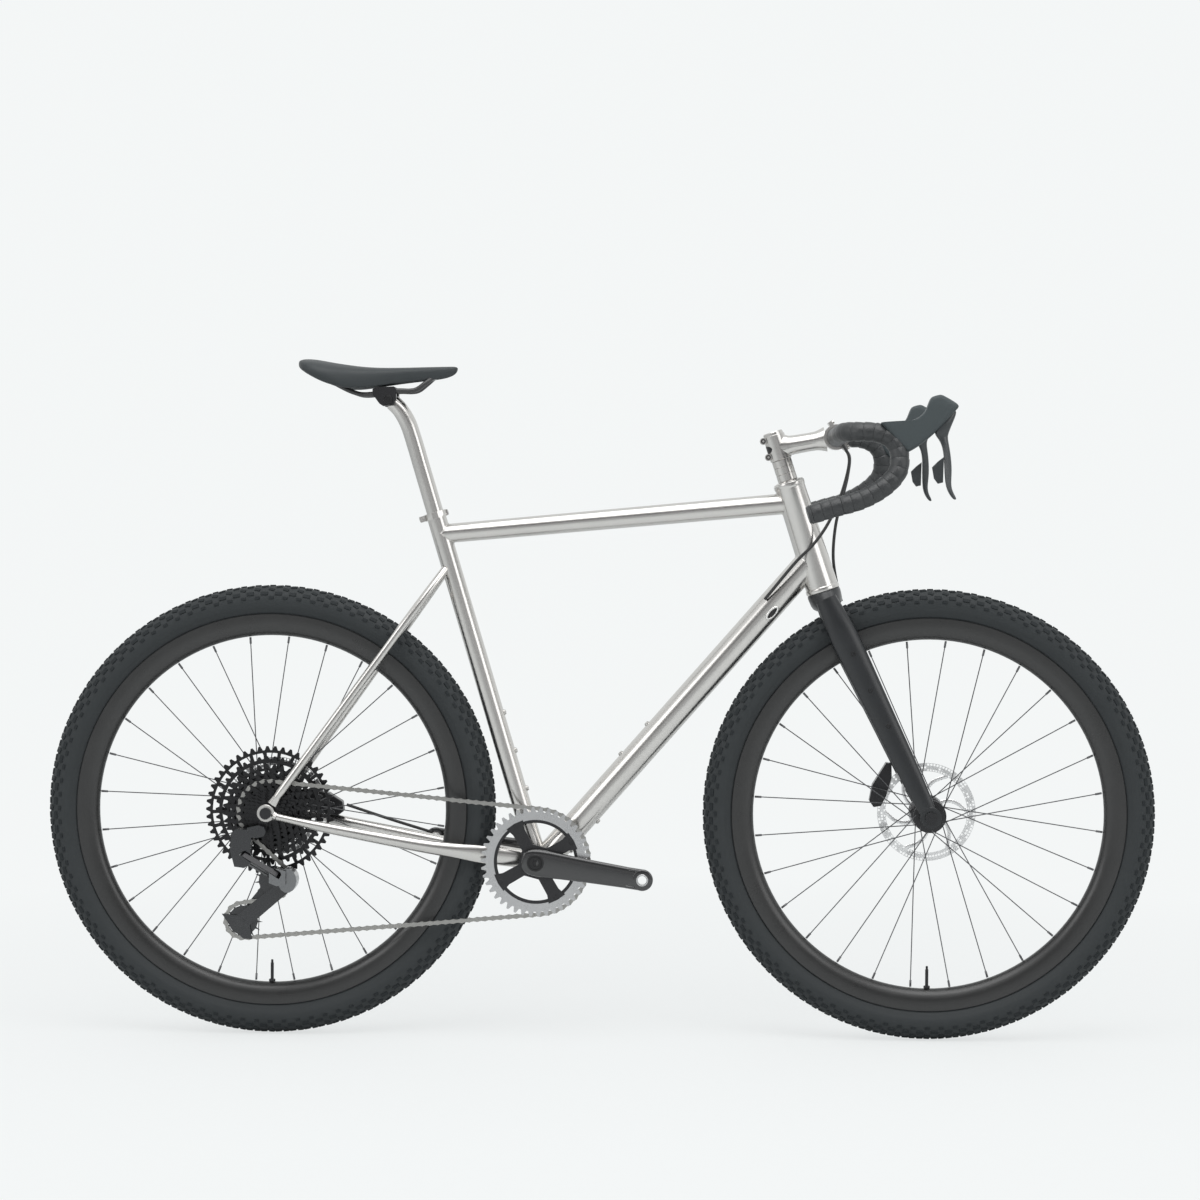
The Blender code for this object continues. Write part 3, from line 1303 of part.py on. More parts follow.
def build_b_knuckle(mat):
    """Eye on the hanger's bolt, clevis for the links and the battery behind them."""
    u, v = vec(1, 0, 0), vec(0, 0, 1)
    p = B_PIVOT
    inner, outer = -72.6 * MM, -93 * MM
    half = (inner - outer) / 2
    centre = vec(0, (inner + outer) / 2, 0)
    block = [(-14, -14), (2, -16), (13, -8), (12, 10), (13, 44), (-11, 46), (-19, 40), (-21, 12)]
    outline = [(p.x + a * MM, p.z + b * MM) for a, b in block]
    knuckle = place("derailleur_b_knuckle", flat_plate(outline, [], centre, u, v, half), mat)
    eye = hanger_point(0)
    face = HANGER_FACE_Y + GAP
    depth = 10 * MM
    arm = [(eye.x + a * MM, eye.z + b * MM) for a, b in ((-20, -9), (-4, -10), (7, -7), (10, 0), (7, 7), (-2, 10),
                                                         (-20, 6))]
    join(knuckle, flat_plate(arm, [], vec(0, -face - depth / 2, 0), u, v, depth / 2), "arm")
    clear = hanger_point(-face)
    cut(knuckle, rod(hanger_point(-60 * MM), clear, HANGER_EYE_R + 2 * GAP, 12), "hanger")
    cut(knuckle, link_slot(p, 1), "slot")
    join(knuckle, link_pins(p), "pins")


KNUCKLE_INNER_Y = CHAIN_Y - 5.2 * MM
CAGE_PLATE_HALF = 0.75 * MM
CAGE_PLATE_Y = 3.7 * MM


def build_p_knuckle(mat):
    """The rounded knuckle that carries the cage and its motor."""
    link, _, _ = mover_axes()
    p = B_PIVOT + link
    origin = p
    egg = []
    centre = CAGE_PIVOT + vec(1 * MM, 0, 7 * MM)
    for k in range(14):
        t = 2 * pi * k / 14
        egg.append((centre.x + 15 * MM * cos(t), centre.z + 19.5 * MM * sin(t)))
    u, v = vec(1, 0, 0), vec(0, 0, 1)
    body = flat_plate(egg, [], vec(0, -73 * MM, 0), u, v, 17 * MM)
    knuckle = place("derailleur_p_knuckle", body, mat, origin)
    lug = [(p.x + a * MM, p.z + b * MM) for a, b in ((-10, -9), (2, -14), (16, -12), (16, 10), (2, 14), (-10, 12))]
    join(knuckle, flat_plate(lug, [], vec(0, p.y, 0), u, v, 10.5 * MM), "lug")
    pivot = vec(CAGE_PIVOT.x, 0, CAGE_PIVOT.z)
    join(knuckle, rod(pivot + Y_AXIS * KNUCKLE_INNER_Y, pivot - Y_AXIS * 70 * MM, 11.5 * MM, 14), "neck")
    cut(knuckle, rod(pivot, pivot + Y_AXIS * (KNUCKLE_INNER_Y - 9 * MM), 5 * MM + GAP, 12), "bearing")
    cut(knuckle, link_slot(p, -1), "slot")
    join(knuckle, link_pins(p), "pins")


def hull(discs, turn=0.0):
    """The convex outline round a few discs given as (x, z, radius)."""
    points = []
    for x, z, r in discs:
        points += [(x + r * cos(turn + pi * k / 4), z + r * sin(turn + pi * k / 4)) for k in range(8)]
    points = sorted(points)
    sides = []
    for ordered in (points, points[::-1]):
        chain = []
        for q in ordered:
            while len(chain) > 1:
                (ax, az), (bx, bz) = chain[-2], chain[-1]
                if (bx - ax) * (q[1] - az) - (bz - az) * (q[0] - ax) > 1e-12:
                    break
                chain.pop()
            chain.append(q)
        sides += chain[:-1]
    return sides


BOLT_R = 2.4 * MM


def build_cage(mat):
    """Two plates with the pulleys' bolts between them and a stub in the knuckle's bearing."""
    u, v = vec(1, 0, 0), vec(0, 0, 1)
    g, t, p = GUIDE_CENTRE, TENSION_CENTRE, CAGE_PIVOT
    arm = along(p, t, 0.5)
    out_y, in_y = CHAIN_Y - CAGE_PLATE_Y, CHAIN_Y + CAGE_PLATE_Y
    upper = hull([(p.x, p.z, 12 * MM), (g.x, g.z, 10 * MM)])
    cage = place("derailleur_cage", flat_plate(upper, [], Y_AXIS * out_y, u, v, CAGE_PLATE_HALF), mat, CAGE_PIVOT
                 + Y_AXIS * CHAIN_Y)
    lower = hull([(p.x, p.z, 11 * MM), (arm.x, arm.z, 8 * MM), (t.x, t.z, 13 * MM)])
    join(cage, flat_plate(lower, [], Y_AXIS * out_y, u, v, CAGE_PLATE_HALF * 0.9), "outer_plate")
    fin = [(t.x + a * MM, t.z + b * MM) for a, b in ((-34, 11), (-17, -14), (1, -29), (15, -30), (10, 4), (-12, 9))]
    join(cage, flat_plate(fin, [], Y_AXIS * out_y, u, v, CAGE_PLATE_HALF * 0.8), "fin")
    inner = hull([(g.x, g.z, 9 * MM), (arm.x, arm.z, 7 * MM), (t.x, t.z, 12 * MM)])
    join(cage, flat_plate(inner, [], Y_AXIS * in_y, u, v, CAGE_PLATE_HALF), "inner_plate")
    for label, c in (("guide_bolt", g), ("tension_bolt", t)):
        centre = vec(c.x, 0, c.z)
        join(cage, rod(centre + Y_AXIS * (out_y - 1.6 * MM), centre + Y_AXIS * (in_y + 1.2 * MM), BOLT_R, 8), label)
    stub = vec(p.x, 0, p.z)
    join(cage, rod(stub + Y_AXIS * out_y, stub + Y_AXIS * (KNUCKLE_INNER_Y - 7 * MM), 5 * MM, 12), "stub")


def build_pulleys(mat):
    u, v = vec(1, 0, 0), vec(0, 0, 1)
    bore = (BOLT_R + GAP) / cos(pi / 8)
    for name, c, index in (("guide_pulley", GUIDE_CENTRE, 1), ("tension_pulley", TENSION_CENTRE, 2)):
        centre = vec(c.x, CHAIN_Y, c.z)
        holes = [circle_loop(bore, 8)]
        plate = flat_plate(tooth_loop(PULLEY_TEETH, sprocket_phase(index)), holes, centre, u, v, 0.8 * MM)
        place("derailleur_" + name, plate, mat, centre)


# Fork and headset

CROWN_DROP = 26 * MM
CROWN_LONG_R = 25 * MM
CROWN_WIDE_R = 45 * MM
LEG_TOP_Y = 40.5 * MM
LEG_END_Y = FRONT_HUB_WIDTH / 2 + FORK_TIP_THICKNESS / 2
TIP_BOSS_R = 17 * MM


def leg_foot(share):
    """A point on the blade's straight side-view line: 0 at the crown, 1 at the axle."""
    top = FRONT_AXLE + (vec(-cos(radians(64.1)), 0, sin(radians(64.1)))) * 361 * MM
    return along(top, FRONT_AXLE, share)


def leg_rings(side):
    stations = [(-0.065, 33, 17, 10.5), (0.075, 39.5, 22, 11.5), (0.15, LEG_TOP_Y / MM, 23, 11.5), (0.35, 42.5, 21.3, 10.5),
                (0.58, 47, 19.2, 9), (0.8, 52, 17.2, 7.5), (0.93, LEG_END_Y / MM, 14.5, 5.8),
                (1, LEG_END_Y / MM, 12, 5.2)]
    rings = []
    d = (leg_foot(1) - leg_foot(0)).normalized()
    fore = vec(-d.z, 0, d.x)
    for share, y, wide, thick in stations:
        centre = leg_foot(share) + Y_AXIS * side * y * MM
        rings.append(circle_points(centre, fore, Y_AXIS * side, wide * MM, thick * MM, 10, turn=pi / 10))
    return rings


def build_fork(mat):
    crown_rings = []
    for drop, a, b in ((0, LOWER_BEARING_R + 3 * MM, LOWER_BEARING_R + 3 * MM), (6 * MM, 27 * MM, 29 * MM),
                       (16 * MM, 26 * MM, 40 * MM), (CROWN_DROP, CROWN_LONG_R * 0.9, CROWN_WIDE_R)):
        crown_rings.append(circle_points(CROWN - HEAD_UP * drop, HEAD_FORE, Y_AXIS, a, b, 16, power=2.3))
    fork = place("fork", solid_loft(crown_rings), mat, CROWN)
    stem_top = HEAD_TUBE_LENGTH + 4 * GAP + COVER_HEIGHT + SPACER_STACK + STEM_CLAMP_HEIGHT - MM
    steerer = [(0, -MM), (CROWN_STEERER_R, -MM), (CROWN_STEERER_R, 60 * MM), (STEERER_R, 105 * MM),
               (STEERER_R, stem_top), (0, stem_top)]
    join(fork, turned(steerer, CROWN, HEAD_UP, HEAD_SIDES), "steerer")
    for side in (1, -1):
        name = side_name(side)
        join(fork, solid_loft(leg_rings(side)), name + "_blade")
        half = FORK_TIP_THICKNESS / 2
        centre = FRONT_AXLE + Y_AXIS * side * (LEG_END_Y + GAP)
        join(fork, rod(centre - Y_AXIS * half, centre + Y_AXIS * half, TIP_BOSS_R, 16), name + "_tip")
    reach = Y_AXIS * 2 * LEG_END_Y
    cut(fork, rod(FRONT_AXLE - reach, FRONT_AXLE + reach, (AXLE_R + GAP) / cos(pi / 12), 12), "axle")


COVER_HEIGHT = 3 * MM
CLAMP_LOW = HEAD_TUBE_LENGTH + 4 * GAP + COVER_HEIGHT + SPACER_STACK
SPACERS = 3
SPACER_GROOVE = 0.7 * MM


def build_headset_spacers(mats):
    """The bearing's cover and the spacers in one stack."""
    inner = STEERER_R + GAP
    h = HEAD_TUBE_LENGTH + 3 * GAP
    profile = [(inner, h), (HEAD_TUBE_TOP_R, h), (SPACER_R + 2 * MM, h + COVER_HEIGHT)]
    h += COVER_HEIGHT
    for k in range(SPACERS):
        if k:
            profile.append((SPACER_R - SPACER_GROOVE, h))
        profile += [(SPACER_R, h + GAP), (SPACER_R, h + SPACER_STACK / SPACERS - GAP)]
        h += SPACER_STACK / SPACERS
    profile += [(inner, h)]
    place("headset_spacers", turned(profile, CROWN, HEAD_UP, HEAD_SIDES), mats["titanium"])


# Stem and handlebar

CLAMP_CENTRE = CROWN + HEAD_UP * (CLAMP_LOW + STEM_CLAMP_HEIGHT / 2)
STEM_FORE = vec(cos(STEM_SLOPE), 0, sin(STEM_SLOPE))
BAR_CENTRE = CLAMP_CENTRE + STEM_FORE * STEM_REACH
SPLIT_NORMAL = vec(cos(FACEPLATE_TILT), 0, sin(FACEPLATE_TILT))
SPLIT_ALONG = vec(-SPLIT_NORMAL.z, 0, SPLIT_NORMAL.x)
FACEPLATE_HALF_WIDTH = 20 * MM
FACEPLATE_R = BAR_CLAMP_R + 5 * MM
FACE_BOLT_Y = 14 * MM
FACE_BOLT_OUT = 22.5 * MM


def half_ring(front, inner, outer, ears):
    """Half of the bar clamp's side outline, seen across the bar, with ears for the bolts."""
    sign = 1 if front else -1
    gap = 0.6 * MM
    loop = []
    for k in range(9):
        t = (k / 8 - 0.5) * pi
        loop.append((max(inner * cos(t), gap) * sign, inner * sin(t)))
    depth = 7 * MM if front else 10 * MM
    loop += [(gap * sign, ears), (depth * sign, ears)]
    for k in range(7):
        t = pi / 2 - (k + 0.8) * pi / 7.6
        loop.append((outer * cos(t) * sign, outer * sin(t)))
    loop += [(depth * sign, -ears), (gap * sign, -ears)]
    return loop


def build_stem(mats):
    u, v = SPLIT_NORMAL, SPLIT_ALONG
    ears = FACE_BOLT_OUT + 4 * MM
    inner = (BAR_CLAMP_R + GAP) / cos(pi / 12)
    rear = flat_plate(half_ring(False, inner - 3 * MM, FACEPLATE_R + 3 * MM, ears), [], BAR_CENTRE, u, v,
                      FACEPLATE_HALF_WIDTH)
    stem = place("stem", rear, mats["titanium"], CLAMP_CENTRE)
    low = CLAMP_CENTRE - HEAD_UP * STEM_CLAMP_HEIGHT / 2
    profile = [(0, 0), (STEM_CLAMP_R, 0), (STEM_CLAMP_R, STEM_CLAMP_HEIGHT), (0, STEM_CLAMP_HEIGHT)]
    join(stem, turned(profile, low, HEAD_UP, TUBE_SIDES), "clamp")
    path = [CLAMP_CENTRE + STEM_FORE * 6 * MM, CLAMP_CENTRE + STEM_FORE * (STEM_REACH - BAR_CLAMP_R - 3 * MM)]
    join(stem, solid_loft(tube_rings(path, [(STEM_TUBE_R, STEM_TUBE_R * 1.08), (STEM_TUBE_R * 1.08, STEM_TUBE_R * 1.03)],
                                     12, turn=pi / 12)), "tube")
    for s in (-1, 1):
        p = CLAMP_CENTRE - STEM_FORE * (STEM_CLAMP_R + 1.5 * MM) + HEAD_UP * s * STEM_CLAMP_HEIGHT * 0.33
        join(stem, rod(p - Y_AXIS * 11 * MM, p + Y_AXIS * 11 * MM, 5.5 * MM, 10), "pinch" + ("_low", "_high")[s > 0])
    back = -STEM_FORE * (STEM_CLAMP_R + 14 * MM)
    front = -STEM_FORE * STEERER_R / 2
    slit = [CLAMP_CENTRE + back - HEAD_UP * STEM_CLAMP_HEIGHT, CLAMP_CENTRE + front - HEAD_UP * STEM_CLAMP_HEIGHT,
            CLAMP_CENTRE + front + HEAD_UP * STEM_CLAMP_HEIGHT, CLAMP_CENTRE + back + HEAD_UP * STEM_CLAMP_HEIGHT]
    cut(stem, flat_plate([(p.x, p.z) for p in slit], [], vec(0, 0, 0), vec(1, 0, 0), vec(0, 0, 1), SLOT_WIDTH / 2),
        "slit")
    bore = clear_bore(STEERER_R, 12)
    cut(stem, rod(low - HEAD_UP * MM, low + HEAD_UP * (STEM_CLAMP_HEIGHT + MM), bore, 12), "steerer")
    top = CAP_R
    cap = [(0, 0), (top, 0), (top, TOP_CAP_HEIGHT * 0.7), (top - 2 * MM, TOP_CAP_HEIGHT),
           (4 * MM, TOP_CAP_HEIGHT), (3 * MM, TOP_CAP_HEIGHT / 2), (0, TOP_CAP_HEIGHT / 2)]
    join(stem, turned(cap, low + HEAD_UP * (STEM_CLAMP_HEIGHT - CAP_SINK), HEAD_UP, HEAD_SIDES), "cap")
    reach = Y_AXIS * 2 * FACEPLATE_HALF_WIDTH
    cut(stem, rod(BAR_CENTRE - reach, BAR_CENTRE + reach, inner, 12), "bar")
    face = place("stem_faceplate", flat_plate(half_ring(True, inner, FACEPLATE_R, ears), [], BAR_CENTRE, u, v,
                                              FACEPLATE_HALF_WIDTH), mats["titanium"], BAR_CENTRE)
    for s in (-1, 1):
        for side in (-1, 1):
            p = BAR_CENTRE + v * s * (FACE_BOLT_OUT + MM) + Y_AXIS * side * FACE_BOLT_Y + u * 5 * MM
            join(face, rod(p, p + u * 5 * MM, 3.2 * MM, 8), "bolt_%d_%s" % (s + 1, side_name(side)))
    window = [(6 * MM, 9 * MM), (6 * MM, -9 * MM), (30 * MM, -9 * MM), (30 * MM, 9 * MM)]
    cut(face, flat_plate(window, [], BAR_CENTRE, u, v, 7 * MM), "window")


def bar_path(side):
    """Top, bend, hook and drop of one side of the handlebar."""
    half, reach, drop = BAR_HALF_WIDTH, BAR_REACH, BAR_DROP
    shape = [(0, 0, 0), (0, 60, 0), (0.02, 110, 0.01), (0.03, 155, 0.02), (0.1, 185, 0.03), (0.32, 202, 0.03),
             (0.6, 207, 0.02), (0.84, 210, -0.05), (0.97, 213, -0.17), (1, 217, -0.31), (0.97, 222, -0.455),
             (0.83, 227, -0.59), (0.59, 232, -0.72), (0.27, 237, -0.83), (-0.13, 240, -0.91), (-0.54, 242, -1)]
    scale = half / (207 * MM)
    return [BAR_CENTRE + vec(a * reach, side * b * MM * scale, c * drop) for a, b, c in shape]


BAR_WALL = 1.8 * MM
BAR_RINGS = 15


def bar_side(side, count):
    return curve_through(bar_path(side), count)


def build_handlebar(mat):
    right = bar_side(-1, BAR_RINGS)
    left = bar_side(1, BAR_RINGS)
    frames = tube_frames(right)[::-1] + [(u, v) for u, v in tube_frames(left)[1:]]
    path = right[::-1] + left[1:]
    outer, inner = [], []
    for i, p in enumerate(path):
        u, v = frames[i]
        v = v if p.y > 0 else -v
        near = min(max((abs(p.y) - 30 * MM) / (16 * MM), 0), 1)
        r = BAR_CLAMP_R + (BAR_R - BAR_CLAMP_R) * near
        outer.append(circle_points(p, u, v, r, r, BAR_SIDES, turn=pi / BAR_SIDES))
        inner.append(circle_points(p, u, v, r - BAR_WALL, r - BAR_WALL, BAR_SIDES, turn=pi / BAR_SIDES))
    place("handlebar", hollow_loft(outer, inner, split=True), mat)


def tube_rings_along(points, radii, sides):
    """Rings across a winding path whose frame is carried along without a twist."""
    rings = []
    u = None
    for i, p in enumerate(points):
        d = (points[min(i + 1, len(points) - 1)] - points[max(i - 1, 0)]).normalized()
        u = frame_of(d, vec(0, 0, 1) if u is None else u)[0]
        v = d.cross(u)
        rings.append(circle_points(p, u, v, radii[i], radii[i], sides, turn=pi / sides))
    return rings


PLUG_THICKNESS = 6 * MM


def build_tape(side, mat):
    """Overlapping laps of tape, each stepping down to the next, with a plug at the bar's end."""
    bar = bar_side(side, BAR_RINGS)
    fine = [along(a, b, k / 20) for a, b in zip(bar, bar[1:]) for k in range(20)] + [bar[-1]]
    first = next(i for i, p in enumerate(bar) if abs(p.y) > TAPE_START)
    last = len(fine) - 1
    frames = tube_frames(bar)
    outer = []
    for k in range(first, len(bar) - 1):
        thick = TAPE_THICKNESS + (TOP_PADDING if bar[k].x < BAR_CENTRE.x + BAR_REACH / 4 else 0)
        for i, step in ((20 * k, 0.5), (20 * k + 18, -0.5)):
            outer.append(framed_ring(fine, i, frames, BAR_R + thick + TAPE_LAP_STEP * step))
    outer.append(framed_ring(fine, last, frames, BAR_R + TAPE_THICKNESS))
    inner = [framed_ring(fine, 20 * i, frames, BAR_R + 2 * GAP) for i in range(first, len(bar))]
    d = (bar[-1] - bar[-2]).normalized()
    for rings in (outer, inner):
        rings[-1] = [p + d * PLUG_THICKNESS / 2 for p in rings[-1]]
    tape = place("bar_tape_" + side_name(side), hollow_loft(outer, inner, split=True), mat)
    end = fine[last]
    join(tape, rod(end + d * GAP, end + d * PLUG_THICKNESS, BAR_R + TAPE_THICKNESS * 0.6, BAR_SIDES), "plug")


def tube_frames(points):
    """An untwisted pair of vectors across a path at each of its points."""
    frames = []
    u = vec(0, 0, 1)
    for i in range(len(points)):
        d = (points[min(i + 1, len(points) - 1)] - points[max(i - 1, 0)]).normalized()
        u = frame_of(d, u)[0]
        frames.append((u, d.cross(u)))
    return frames


def framed_ring(fine, i, frames, radius):
    """A ring at a fine step of the path, its frame blended from those of the bar's own rings."""
    k, rest = divmod(i, 20)
    low, high = frames[k], frames[min(k + 1, len(frames) - 1)]
    u, v = (along(low[j], high[j], rest / 20).normalized() for j in (0, 1))
    return circle_points(fine[i], u, v, radius, radius, BAR_SIDES, turn=pi / BAR_SIDES)


# Levers

HOOD_HALF = 16 * MM
HOOD_Y = BAR_HALF_WIDTH + 5 * MM
LEVER_PIVOT = BAR_CENTRE + vec(163.3 * MM, 0, 12 * MM)
LEVER_TIP_OUT = 30 * MM
LEVER_SLOT_HALF = 7 * MM


def hood_outline():
    """The hood's side view, from its rear top over the horn to its front and its underside."""
    shape = [(59, 19), (83, 17), (106, 20), (121, 28), (131, 41), (136, 55), (152, 60), (168, 56), (178, 46),
             (177, 38), (166, 18), (162, 5), (138, -2), (124, -13), (100, -28), (84, -10)]
    return [(BAR_CENTRE.x + a * MM, BAR_CENTRE.z + b * MM) for a, b in shape]


def build_hood(side, mat):
    outline = hood_outline()
    cx = sum(a for a, _ in outline) / len(outline)
    cz = sum(b for _, b in outline) / len(outline)
    rings = []
    for y, grow in ((-1, 0.86), (-0.62, 1), (0.62, 1), (1, 0.86)):
        ring = []
        for a, b in outline:
            ring.append(vec(cx + (a - cx) * grow, side * HOOD_Y + y * HOOD_HALF, cz + (b - cz) * grow))
        rings.append(ring)
    hood = place("hood_" + side_name(side), solid_loft(rings), mat)
    fine = bar_side(side, 160)
    around = [p for p in fine if p.x > BAR_CENTRE.x + 18 * MM and p.z > BAR_CENTRE.z - 70 * MM]
    around = [around[round(k * (len(around) - 1) / 7)] for k in range(8)]
    clear = (BAR_R + TAPE_THICKNESS + TAPE_LAP_STEP + 3 * GAP) / cos(pi / 8)
    cut(hood, solid_loft(tube_rings_along(around, [clear] * 8, 8)), "bar")
    p = LEVER_PIVOT
    box = [(p.x - 30 * MM, p.z - 30 * MM), (p.x + 30 * MM, p.z - 30 * MM), (p.x + 30 * MM, p.z + 9 * MM),
           (p.x + 8 * MM, p.z + 12 * MM), (p.x - 8 * MM, p.z + 9 * MM), (p.x - 18 * MM, p.z - 4 * MM)]
    y = side * HOOD_Y
    cut(hood, flat_plate(box, [], vec(0, y, 0), vec(1, 0, 0), vec(0, 0, 1), LEVER_SLOT_HALF), "lever_slot")
    join(hood, rod(vec(p.x, y - HOOD_HALF * 0.7, p.z), vec(p.x, y + HOOD_HALF * 0.7, p.z), 2 * MM, 8), "pin")


def build_lever(side, mat):
    """A brake lever that hangs from its pin and flares outward towards its tip."""
    p = LEVER_PIVOT
    half = LEVER_SLOT_HALF - 1.2 * MM
    rings = []
    stations = [(-7, 7, 6, 1, 0), (-8, 8, 0, 1, 0), (-10, 6, -14, 1, 0), (-14, 2, -30, 1, 0.12), (-8, 4, -54, 0.95, 0.4),
                (-6, 3.5, -88, 0.95, 0.78), (-2, 8, -104, 0.9, 0.95), (5, 12.5, -113, 0.7, 1)]
    for back, front, z, wide, out in stations:
        y = side * (HOOD_Y + out * LEVER_TIP_OUT)
        w = half * wide
        cut_back = 1.5 * MM
        corners = [(back * MM, -w + cut_back), (back * MM + cut_back, -w), (front * MM, -w * 0.8), (front * MM, w * 0.8),
                   (back * MM + cut_back, w), (back * MM, w - cut_back)]
        rings.append([vec(p.x + a, y + side * b, p.z + z * MM) for a, b in corners])
    pivot = vec(p.x, side * HOOD_Y, p.z)
    lever = place("brake_lever_" + side_name(side), solid_loft(rings), mat, pivot)
    reach = Y_AXIS * HOOD_HALF
    cut(lever, rod(pivot - reach, pivot + reach, (2 * MM + GAP) / cos(pi / 8), 8), "pin")


def paddle_hinge(side):
    return vec(LEVER_PIVOT.x - 9 * MM, side * (HOOD_Y + 17 * MM), LEVER_PIVOT.z - 66 * MM)


def build_paddle(side, mat):
    """A shift paddle behind the lever, hinged on an upright pin."""
    p = paddle_hinge(side)
    outline = [(0, 19), (-9, 12), (-18, 3), (-15, -14), (-9, -22), (-1, -20)]
    plate = flat_plate([(p.x + a * MM, p.z + b * MM) for a, b in outline], [], Y_AXIS * p.y, vec(1, 0, 0),
                       vec(0, 0, 1), 1.5 * MM)
    place("shift_paddle_" + side_name(side), plate, mat, p)


# Brakes

HOSE_R = 2.5 * MM


def hose_bm(points, count, sides=6):
    path = curve_through(points, count)
    return solid_loft(tube_rings_along(path, [HOSE_R] * count, sides))


BLADE_TO_HOSE = 17.9 * MM


def build_front_hose(mat):
    """From the bar's tape down past the head tube to the fork's blade."""
    c = BAR_CENTRE
    down = (FRONT_AXLE - leg_foot(0)).normalized()
    landing = leg_foot(-0.02) + vec(-down.z, 0, down.x) * (BLADE_TO_HOSE + HOSE_R) + Y_AXIS * 34 * MM
    route = [vec(c.x + 12 * MM, 47 * MM, c.z - 14 * MM), vec(c.x + 23 * MM, 24 * MM, c.z - 30 * MM),
             vec(c.x + 19 * MM, -2 * MM, c.z - 62 * MM), vec(c.x + 11 * MM, -6 * MM, c.z - 96 * MM),
             vec(c.x + 1 * MM, 6 * MM, c.z - 140 * MM), vec(c.x - 2 * MM, 22 * MM, c.z - 190 * MM),
             vec(c.x + 4 * MM, 32 * MM, c.z - 232 * MM), landing]
    place("front_brake_hose", hose_bm(route, 14), mat)


def build_rear_hose(mat):
    """From the bar's tape round the head tube's drive side to the port in the down tube."""
    c = BAR_CENTRE
    down = (DOWN_TUBE_FRONT - DOWN_TUBE_REAR).normalized()
    up = vec(-down.z, 0, down.x)
    lean = radians(52)
    port = DOWN_TUBE_FRONT - down * 12 * MM + (up * cos(lean) - Y_AXIS * sin(lean)) * (DOWN_TUBE_R * cos(pi / TUBE_SIDES) + HOSE_R)
    route = [vec(c.x + 10 * MM, -47 * MM, c.z - 15 * MM), vec(c.x + 20 * MM, -34 * MM, c.z - 38 * MM),
             vec(c.x + 9 * MM, -28 * MM, c.z - 88 * MM), vec(c.x - 11 * MM, -31 * MM, c.z - 134.5 * MM),
             vec(c.x - 35 * MM, -37 * MM, c.z - 170 * MM), vec(c.x - 66 * MM, -37 * MM, c.z - 202 * MM), port]
    front = hose_bm(route, 13)
    stay = chainstay_rings(1)
    middle = [sum(ring, vec(0, 0, 0)) / len(ring) for ring in stay]
    start = along(middle[3], middle[4], 0.1) + vec(0, 9 * MM, 10.5 * MM)
    stop = REAR_AXLE + vec(113 * MM, 61 * MM, 2 * MM)
    bend = along(start, stop, 0.55) + vec(0, 2.5 * MM, 4 * MM)
    place("rear_brake_hose", front, mat)
    place("rear_brake_hose_tail", hose_bm([start, bend, stop], 4), mat)


ROTOR_CLEAR = 1.4 * MM
CALIPER_HALF = 11.5 * MM


def build_caliper(which, axle, y, outline, mat):
    """A block over the edge of the disc, open towards the axle."""
    loop = [(axle.x + a * MM, axle.z + b * MM) for a, b in outline]
    body = flat_plate(loop, [], Y_AXIS * y, vec(1, 0, 0), vec(0, 0, 1), CALIPER_HALF)
    caliper = place(which + "_caliper", body, mat)
    half = ROTOR_THICKNESS / 2 + ROTOR_CLEAR
    cut(caliper, rod(axle + Y_AXIS * (y - half), axle + Y_AXIS * (y + half), ROTOR_R + 2 * MM, 24), "disc")


def build_calipers(mat):
    front = [(-57.4, 78.8), (-66, 80), (-88, 44), (-93, 18), (-86, 8), (-74, 10), (-66, 26), (-57, 56)]
    rear = [(58, -7), (50, 4), (50, 20), (60, 27), (86, 22), (108, 8), (110, -8), (100, -15.3)]
    build_caliper("front", FRONT_AXLE, FRONT_ROTOR_Y, front, mat)
    build_caliper("rear", REAR_AXLE, REAR_ROTOR_Y, rear, mat)


# Seat

POST_WALL = 1.6 * MM


def post_path():
    start = SEAT_TOP - SEAT_UP * SEATPOST_INSERTION
    straight = SEAT_TOP + SEAT_UP * 125 * MM
    c = straight
    return [start, straight, c + vec(-9 * MM, 0, 25 * MM), c + vec(-21 * MM, 0, 45 * MM),
            c + vec(-33 * MM, 0, 57 * MM)]


def build_seatpost(mat):
    path = post_path()
    turn = pi / TUBE_SIDES
    outer = tube_rings(path, [SEATPOST_R] * 4 + [SEATPOST_R * 0.95], TUBE_SIDES, turn=turn)
    inner = tube_rings(path, [SEATPOST_R - POST_WALL] * 4 + [SEATPOST_R * 0.95 - POST_WALL], TUBE_SIDES, turn=turn)
    place("seatpost", hollow_loft(outer, inner), mat)


CLAMP_AT = SEAT_TOP + SEAT_UP * 125 * MM + vec(-42 * MM, 0, 68 * MM)


RAIL_RINGS = 21
RAIL_SIDES = 6


def rail_path():
    """One wire: from the left rear socket forward, round under the nose and back on the right."""
    c = CLAMP_AT
    side = [(-96, 30, 22), (-76, 24, 12), (-52, 22, 4), (-31, 22, 0.5), (16, 22, 6.5), (44, 22, 6.5), (62, 21.5, 10),
            (84, 18, 21), (98, 12, 24)]
    points = side + [(103, 0, 25)] + [(a, -y, b) for a, y, b in reversed(side)]
    return curve_through([c + vec(a * MM, y * RAIL_SPREAD / 22, b * MM) for a, y, b in points], RAIL_RINGS)


def rail_body(radius):
    return solid_loft(tube_rings_along(rail_path(), [radius] * RAIL_RINGS, RAIL_SIDES))


def build_rails(mat):
    place("saddle_rails", rail_body(RAIL_R), mat)


BARREL_R = 7 * MM
BARREL_AT = CLAMP_AT + vec(4.5 * MM, 0, -8 * MM)
SADDLE_REAR = CLAMP_AT + vec(-140.4 * MM, 0, 0)
CLAMP_HALF_WIDTH = 27 * MM
CLAMP_SLOT_HALF = SEATPOST_R + 2 * MM


